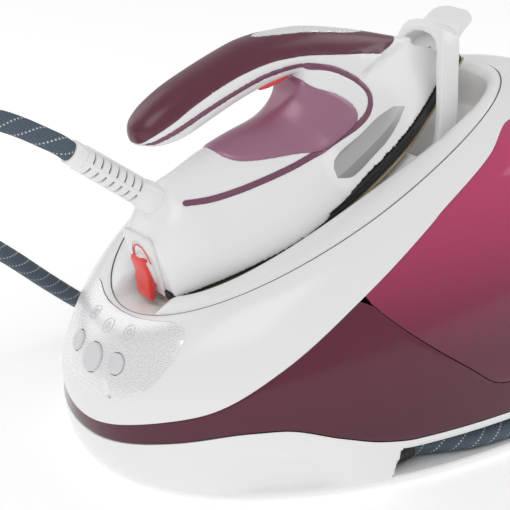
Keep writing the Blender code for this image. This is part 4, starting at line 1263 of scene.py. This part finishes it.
def peel(source, name, measure):
    """Copies the part of a sheet on one side of a measure into its own piece."""
    mesh = bmesh.new()
    mesh.from_mesh(source.data)
    values = split_along(mesh, measure)

    def inner(face):
        return sum(values.get(v, 0.0) for v in face.verts) > 0

    piece_data = bpy.data.meshes.new(name)
    for target, wanted in ((piece_data, True), (source.data, False)):
        part = mesh.copy()
        part.faces.ensure_lookup_table()
        mesh.faces.ensure_lookup_table()
        gone = [part.faces[f.index] for f in mesh.faces if inner(f) != wanted]
        bmesh.ops.delete(part, geom=gone, context="FACES")
        part.to_mesh(target)
        part.free()
    mesh.free()
    piece = bpy.data.objects.new(name, piece_data)
    bpy.context.scene.collection.objects.link(piece)
    return piece


def push(piece, height_at):
    """Moves each corner of a sheet along its normal, by height_at(corner) millimetres."""
    mesh = bmesh.new()
    mesh.from_mesh(piece.data)
    mesh.normal_update()
    for v, out, height in [(v, v.normal.copy(), height_at(v)) for v in mesh.verts]:
        v.co += out * height * MM
    mesh.to_mesh(piece.data)
    mesh.free()


def grip_measure(point):
    s, _, n = from_iron(point)
    over = n - smooth_value(PARTING, s)
    return over - 0.012 * max(0, s - 208) ** 2


def saddle_measure(point):
    s, _, n = from_iron(point)
    if not (70 < s < 176 and 26 < n < 86):
        return -5
    away = line_distance((s, n), SADDLE_RING + SADDLE_RING[:1])
    return away if inside((s, n), SADDLE_RING) else -away


def stripe_measure(point):
    s, x, n = from_iron(point)
    return in_mm(sizes().stripe) - STRIPE_TREE.find((s, abs(x), n))[2]


def inlay_measure(point):
    s, x, n = from_iron(point)
    if n < smooth_value(GRIP_TOP, s) - 9:
        return -5
    u, w = (s - 171) / 39, x / 8.4
    return (1 - math.sqrt(u * u + w * w)) * 8


def make_iron_shells():
    """Melts the lofts into one skin, then parts it into the white body, grip, pad, stripe and inlay."""
    skin_piece = one_piece("iron_shell_white", iron_forms())
    melt = skin_piece.modifiers.new("melt", "REMESH")
    melt.mode = "VOXEL"
    melt.voxel_size = sizes().voxel
    melt.adaptivity = 0
    apply_modifiers(skin_piece)
    relax = skin_piece.modifiers.new("relax", "SMOOTH")
    relax.factor = 0.5
    relax.iterations = 14
    apply_modifiers(skin_piece)
    below = peel(skin_piece, "below", lambda at: body_foot(from_iron(at)[0]) + 0.9 - from_iron(at)[2])
    bpy.data.objects.remove(below, do_unlink=True)
    grip = peel(skin_piece, "handle_grip_skin", grip_measure)
    inlay = peel(grip, "grip_inlay", inlay_measure)
    saddle = peel(skin_piece, "saddle_pad", saddle_measure)
    stripe = peel(skin_piece, "colour_stripe", stripe_measure)
    push(saddle, lambda v: 0.8 * ease(0, 2.5, saddle_measure(v.co / MM)))
    for piece in (skin_piece, grip, inlay, saddle, stripe):
        push(piece, lambda v: -GROOVE_DEPTH if v.is_boundary else 0)
        thicken(piece, SHELL_WALL)
    settle(skin_piece, "iron", white(), "white_gloss", "iron_body")
    settle(grip, "iron", burgundy(), "burgundy_gloss", "handle_grip")
    settle(inlay, "iron", silver(), "brushed_panel", "top_inlay")
    pearl = moulded("pearl_pad", tints().saddle, 0.3, 0.42, 1500, 0.01, Metallic=0.25,
                    Coat_Weight=0.4, Coat_Roughness=0.25)
    settle(saddle, "iron", pearl, "mauve_satin", "saddle")
    line = moulded("stripe_tone", tints().stripe, 0.25, 0.35, 1200, 0.008, Metallic=0.3, Coat_Weight=0.4)
    settle(stripe, "iron", line, "mauve_satin")


def make_trigger():
    side = [(118, 92), (118.5, 84.5), (121, 81), (127, 79), (136, 77.4), (143, 77), (144.5, 80),
            (144.5, 90)]
    trigger = plate("trigger_key", side, 15, lambda s, n, w: on_iron(s, w, n), 1.6, 4)
    return settle(trigger, "trigger", red(), "red_clear", "steam_trigger")


def make_heel():
    """Clear-fronted heel with the red flush lever and its two arcs."""
    corners = [(12.5, 3.0), (13.6, 8), (15, 20), (16.4, 33), (16.8, 40), (15.6, 44.4), (12.5, 46.2)]
    corners += [(-x, n) for x, n in reversed(corners)]
    face = lambda s, x, n: on_iron(s + 4.5 * max(0, n - 8) / 40, x, n)
    heel = plate("heel_cover", corners, 2.6, lambda x, n, w: face(2.6 + w, x, n), 0.8, 3)
    clear = moulded("heel_plastic", (0.80, 0.79, 0.79), 0.08, 0.14, 600, 0.004,
                    Coat_Weight=0.7, Coat_Roughness=0.04)
    settle(heel, "iron", clear, "white_gloss", "heel_plate")

    def arc(half, middle, rise, first, sweep, count):
        turns = [first + sweep * k / count for k in range(count + 1)]
        return [face(1.2, half * math.cos(a), middle + rise * math.sin(a)) for a in turns]

    grey_arc = arc(11.5, 24, 17, -0.5, 4.14, 40)
    red_arc = arc(9.6, 26, 12.6, 0.15, 2.84, 36)
    arcs = swept("heel_arcs", red_arc, 0.55, 8)
    settle(arcs, "iron", red(), "red_clear")
    line = swept("heel_line", grey_arc, 0.4, 8)
    settle(line, "iron", grey(), "grey_button")
    side = [(0.6, 31), (-2.2, 32), (-3.4, 29.5), (-3.0, 21), (-5.2, 13), (-6.6, 5), (-5.6, 3.0),
            (-2.6, 3.0), (0.6, 10)]
    lever = plate("flush_lever", side, 15.0, lambda s, n, w: face(s, w, n), 1.1, 3)
    return settle(lever, "lever", red(), "red_clear", "collector_lever")


def boot_axis():
    start, end = on_iron(BOOT_BASE[0], 0, BOOT_BASE[1]), on_iron(BOOT_END[0], 0, BOOT_END[1])
    return start, (end - start).normalized(), (end - start).length


def make_boot():
    start, along, length = boot_axis()
    profile = [(2, 9.5), (14, 9.8), (22, 9.8), (24.5, 9.4), (26, 8.7)]
    gap_shade_rings = []
    at = 28.0
    while at < length - 12:
        r = 8.4 - 0.7 * (at - 28) / (length - 40)
        profile += [(at, r), (at + 3.6, r - 0.05), (at + 3.9, r - 1.2), (at + 5.0, r - 1.2),
                    (at + 5.3, r - 0.1)]
        gap_shade_rings += [(at + 3.8, r - 1.14), (at + 5.1, r - 1.14)]
        at += 6.4
    profile += [(length - 9, 7.7), (length - 2, 7.9), (length - 0.4, 7.6), (length, 7.2),
                (length + 0.1, 6.4)]
    # Black rings at the floor of the grooves between the boot's ribs: painted shade of the gaps.
    painted_gap_shade = turned("boot_slots", start, along, gap_shade_rings, 48)
    settle(painted_gap_shade, "iron", black(), "black_plastic")
    bars = []
    side = along.orthogonal().normalized()
    for k in range(4):
        a = 0.5 + TURN * k / 4
        out = side * math.cos(a) + along.cross(side) * math.sin(a)
        line = [start + along * d + out * (7.55 - 0.7 * d / length) for d in (26, 45, 60, length - 8)]
        bars.append(swept("bar", line, 1.5, 10))
    bars = one_piece("boot_bars", bars)
    settle(bars, "iron", white(), "white_gloss")
    boot = turned("hose_boot_ribbed", start, along, profile, 72)
    return settle(boot, "iron", white(), "white_gloss", "hose_boot", smooth=40)


# ------------------------------------------------------------------ lock hoop
def make_hoop():
    outer = [(41, -7), (41, 14), (39.6, 26), (36.8, 38), (33, 50), (29.2, 61), (26, 71), (23.4, 80),
             (20.4, 87), (16, 91), (9, 93.2)]
    inner = [(36, -7), (36, 12), (34.4, 24), (31, 37), (27, 49), (23.2, 59), (19.6, 69), (17.6, 76),
             (14, 81.6), (8, 85)]
    corners = outer + [(0, 93.8)] + [(-x, up) for x, up in reversed(outer)]
    corners += [(-x, up) for x, up in inner] + [(0, 86)] + list(reversed(inner))
    hoop = plate("lock_hoop_arch", corners, 16.4, on_hoop, 1.4, 3)

    tab_half = [(74, 20.5), (84, 19.6), (92, 18.6), (98, 18.4), (102, 17), (104, 13.5), (105, 9)]

    def tab_place(i, j):
        up = 74 + 31 * (j / 14) ** 0.9
        half = smooth_value(tab_half, up)
        return on_hoop(half * (2 * i / 18 - 1), up, 5.2 + 0.021 * max(0, up - 78) ** 2)

    tab = grid("tab", 18, 14, tab_place)
    thicken(tab, 4.2, 1.2, 3, offset=0)
    hoop = one_piece("lock_hoop_arch", [hoop, tab])
    return settle(hoop, "hoop", white(), "white_gloss", "lock_hoop")


# ------------------------------------------------------------------ hose
def hose_line():
    loop = []
    for k in range(1, 16):
        a = TURN * k / 16
        lift = 6.8 if k < 12 else 6.8 + 13.2 * math.sin(math.pi * (k - 11) / 6.2) ** 2
        drift = (k - 8) * 1.2
        loop.append((LOOP_MID[0] + LOOP_R * math.cos(a), LOOP_MID[1] - LOOP_R * math.sin(a) - drift, lift))
    start, along, length = boot_axis()
    mouth = [tuple(start + along * (length + d)) for d in (14, 0, -12, -26)]
    return HOSE_START + loop + HOSE_RISE + mouth


def make_hose():
    line = spaced(hose_line(), 520)
    total = sum((b - a).length for a, b in zip(line, line[1:]))
    hose = swept("steam_hose_sleeve", line, HOSE_R, 28)
    strands = {"Around": 24.0, "Along": round(total / STRAND_PITCH), "Ground": tuple(tints().hose),
               "Fleck": tuple(tints().fleck)}
    sleeve = finish_of("woven_sleeve", "braid", strands, 0.5)
    settle(hose, None, sleeve, "slate_textile", "steam_hose", smooth=60)
    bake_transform(hose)
    profile = [(0, 5), (0.3, 7.3), (5, 7.3), (6, 7.1), (6.6, 7.25), (9, 7.2), (9.8, 6.6), (10.6, 7.1),
               (13, 7.05), (13.8, 6.5), (14.6, 6.95), (16.8, 6.8), (17, 6.4)]
    gland = turned("gland_sleeve", (116.5, -69.4, 14.9), (0, 1, 0), profile, 48)
    return settle(gland, "base", black(), "black_plastic", "hose_gland")


# ------------------------------------------------------------------ carried-over solids and the studio
CAD_FINISHES = [
    (white, "valve_socket terminal_block scale_collector"),
    (black, "tank_valve boiler_stand pump board_block cord_inlet trigger_switch"),
    (rubbery, "valve_seal inlet_tube steam_tube foot_front_right foot_front_left foot_rear_right "
              "foot_rear_left rest_pad_front rest_pad_left rest_pad_right rest_pad_rear"),
    (steel, "boiler_heater solenoid_valve transformer screw_front_right screw_front_left screw_rear_right "
            "screw_rear_left trigger_pin lock_shaft"),
    (brass, "boiler_plug pump_coil steam_pipe outlet_pipe"),
    (cast, "boiler"),
    (board, "button_board control_board"),
]


def dress_solids():
    for look, names in CAD_FINISHES:
        for name in names.split():
            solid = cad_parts[name]
            solid.data.materials.clear()
            solid.data.materials.append(look())


# Name, place in metres, size and power; all of them face the middle of the object.
LIGHTS = [("key_light", (0.9, -1.5, 1.9), (1.4, 1.4), 11), ("side_light", (-1.7, -0.7, 1.1), (1.2, 1.6), 5),
          ("back_light", (0.6, 1.9, 1.5), (1.6, 1.0), 7)]
LIT_POINT = Vector((0, 0, 0.1))
CAMERA_PLACE = Vector((0.7549, -0.6358, 0.4763))
CAMERA_WAY = Vector((-0.755, 0.549, -0.358))
CAMERA_LENS_MM = 107.3


def facing(way):
    return way.to_track_quat("-Z", "Y").to_euler()


def area_light(name, place, size, power):
    bpy.ops.object.light_add(type="AREA", location=place)
    lamp = bpy.context.object
    lamp.name = name
    lamp.data.shape = "RECTANGLE"
    lamp.data.size, lamp.data.size_y = size
    lamp.data.energy = power
    lamp.rotation_euler = facing(LIT_POINT - Vector(place))


def make_studio():
    bpy.ops.object.select_all(action="DESELECT")
    bpy.ops.mesh.primitive_plane_add(size=14, location=(0, 0, 0))
    floor = bpy.context.object
    floor.name = "studio_floor"
    look = bpy.data.materials.new("studio_floor")
    look.use_nodes = True
    shader = look.node_tree.nodes["Principled BSDF"]
    shader.inputs["Base Color"].default_value = (0.9, 0.9, 0.9, 1)
    shader.inputs["Emission Color"].default_value = (1, 1, 1, 1)
    shader.inputs["Emission Strength"].default_value = 0.3
    shader.inputs["Roughness"].default_value = 0.6
    floor.data.materials.append(look)
    world = bpy.data.worlds.new("studio_world")
    bpy.context.scene.world = world
    world.use_nodes = True
    world.node_tree.nodes["Background"].inputs[0].default_value = (1, 1, 1, 1)
    world.node_tree.nodes["Background"].inputs[1].default_value = 0.6
    for light in LIGHTS:
        area_light(*light)
    bpy.context.scene.view_settings.view_transform = "Standard"
    camera_data = bpy.data.cameras.new("studio_camera")
    camera = bpy.data.objects.new("studio_camera", camera_data)
    bpy.context.scene.collection.objects.link(camera)
    camera_data.lens = CAMERA_LENS_MM
    camera_data.sensor_width = 36
    camera_data.clip_end = 50
    camera.location = CAMERA_PLACE
    camera.rotation_euler = facing(CAMERA_WAY)
    bpy.context.scene.camera = camera


# ------------------------------------------------------------------ operators
class IRON_OT_hose(bpy.types.Operator):
    """Lay the woven steam hose from its gland to the iron"""
    bl_idname = "iron.hose"
    bl_label = "Steam hose"

    def execute(self, context):
        make_hose()
        return {"FINISHED"}


class IRON_OT_mouldings(bpy.types.Operator):
    """Build the base's pan, skirt, upper shell and deck"""
    bl_idname = "iron.mouldings"
    bl_label = "Base mouldings"

    def execute(self, context):
        make_pan()
        make_skirt()
        make_upper_shell()
        make_deck()
        return {"FINISHED"}


class IRON_OT_tank(bpy.types.Operator):
    """Build the water tank and its filler lid"""
    bl_idname = "iron.tank"
    bl_label = "Water tank"

    def execute(self, context):
        make_tank()
        make_lid()
        return {"FINISHED"}


class IRON_OT_panel(bpy.types.Operator):
    """Build the control panel, its buttons and signs"""
    bl_idname = "iron.panel"
    bl_label = "Control panel"

    def execute(self, context):
        make_panel()
        make_panel_marks()
        return {"FINISHED"}


class IRON_OT_iron(bpy.types.Operator):
    """Build the iron: soleplate, shells, trigger, heel and hose boot"""
    bl_idname = "iron.iron"
    bl_label = "Iron"

    def execute(self, context):
        make_sole()
        make_iron_shells()
        make_trigger()
        make_heel()
        make_boot()
        return {"FINISHED"}


class IRON_OT_hoop(bpy.types.Operator):
    """Build the hoop that locks the iron down"""
    bl_idname = "iron.hoop"
    bl_label = "Lock hoop"

    def execute(self, context):
        make_hoop()
        return {"FINISHED"}


class IRON_OT_solids(bpy.types.Operator):
    """Give the carried-over solids their finishes"""
    bl_idname = "iron.solids"
    bl_label = "Inner parts"

    def execute(self, context):
        dress_solids()
        return {"FINISHED"}


class IRON_OT_studio(bpy.types.Operator):
    """Set up the floor, lights and camera"""
    bl_idname = "iron.studio"
    bl_label = "Studio"

    def execute(self, context):
        make_studio()
        return {"FINISHED"}


OPERATORS = (IRON_OT_studio, IRON_OT_hose, IRON_OT_mouldings, IRON_OT_tank, IRON_OT_panel, IRON_OT_iron,
             IRON_OT_hoop, IRON_OT_solids)


class IRON_PT_panel(bpy.types.Panel):
    """Lists the iron's settings and building steps"""
    bl_label = "Steam generator iron"
    bl_idname = "IRON_PT_panel"
    bl_space_type = "VIEW_3D"
    bl_region_type = "UI"
    bl_category = "Iron"

    def draw(self, context):
        for group in (context.scene.iron_sizes, context.scene.iron_colours):
            for name in group.bl_rna.properties.keys():
                if name not in ("rna_type", "name"):
                    self.layout.prop(group, name)
        for operator in OPERATORS:
            self.layout.operator(operator.bl_idname)


CLASSES = (IronSizes, IronColours, *OPERATORS, IRON_PT_panel)


def register():
    for item in CLASSES:
        bpy.utils.register_class(item)
    bpy.types.Scene.iron_sizes = bpy.props.PointerProperty(type=IronSizes)
    bpy.types.Scene.iron_colours = bpy.props.PointerProperty(type=IronColours)


def unregister():
    del bpy.types.Scene.iron_sizes
    del bpy.types.Scene.iron_colours
    for item in reversed(CLASSES):
        bpy.utils.unregister_class(item)


def main():
    register()
    bpy.ops.iron.studio()
    bpy.ops.iron.hose()
    bpy.ops.iron.mouldings()
    bpy.ops.iron.tank()
    bpy.ops.iron.panel()
    bpy.ops.iron.iron()
    bpy.ops.iron.hoop()
    bpy.ops.iron.solids()


if __name__ == "__main__":
    main()
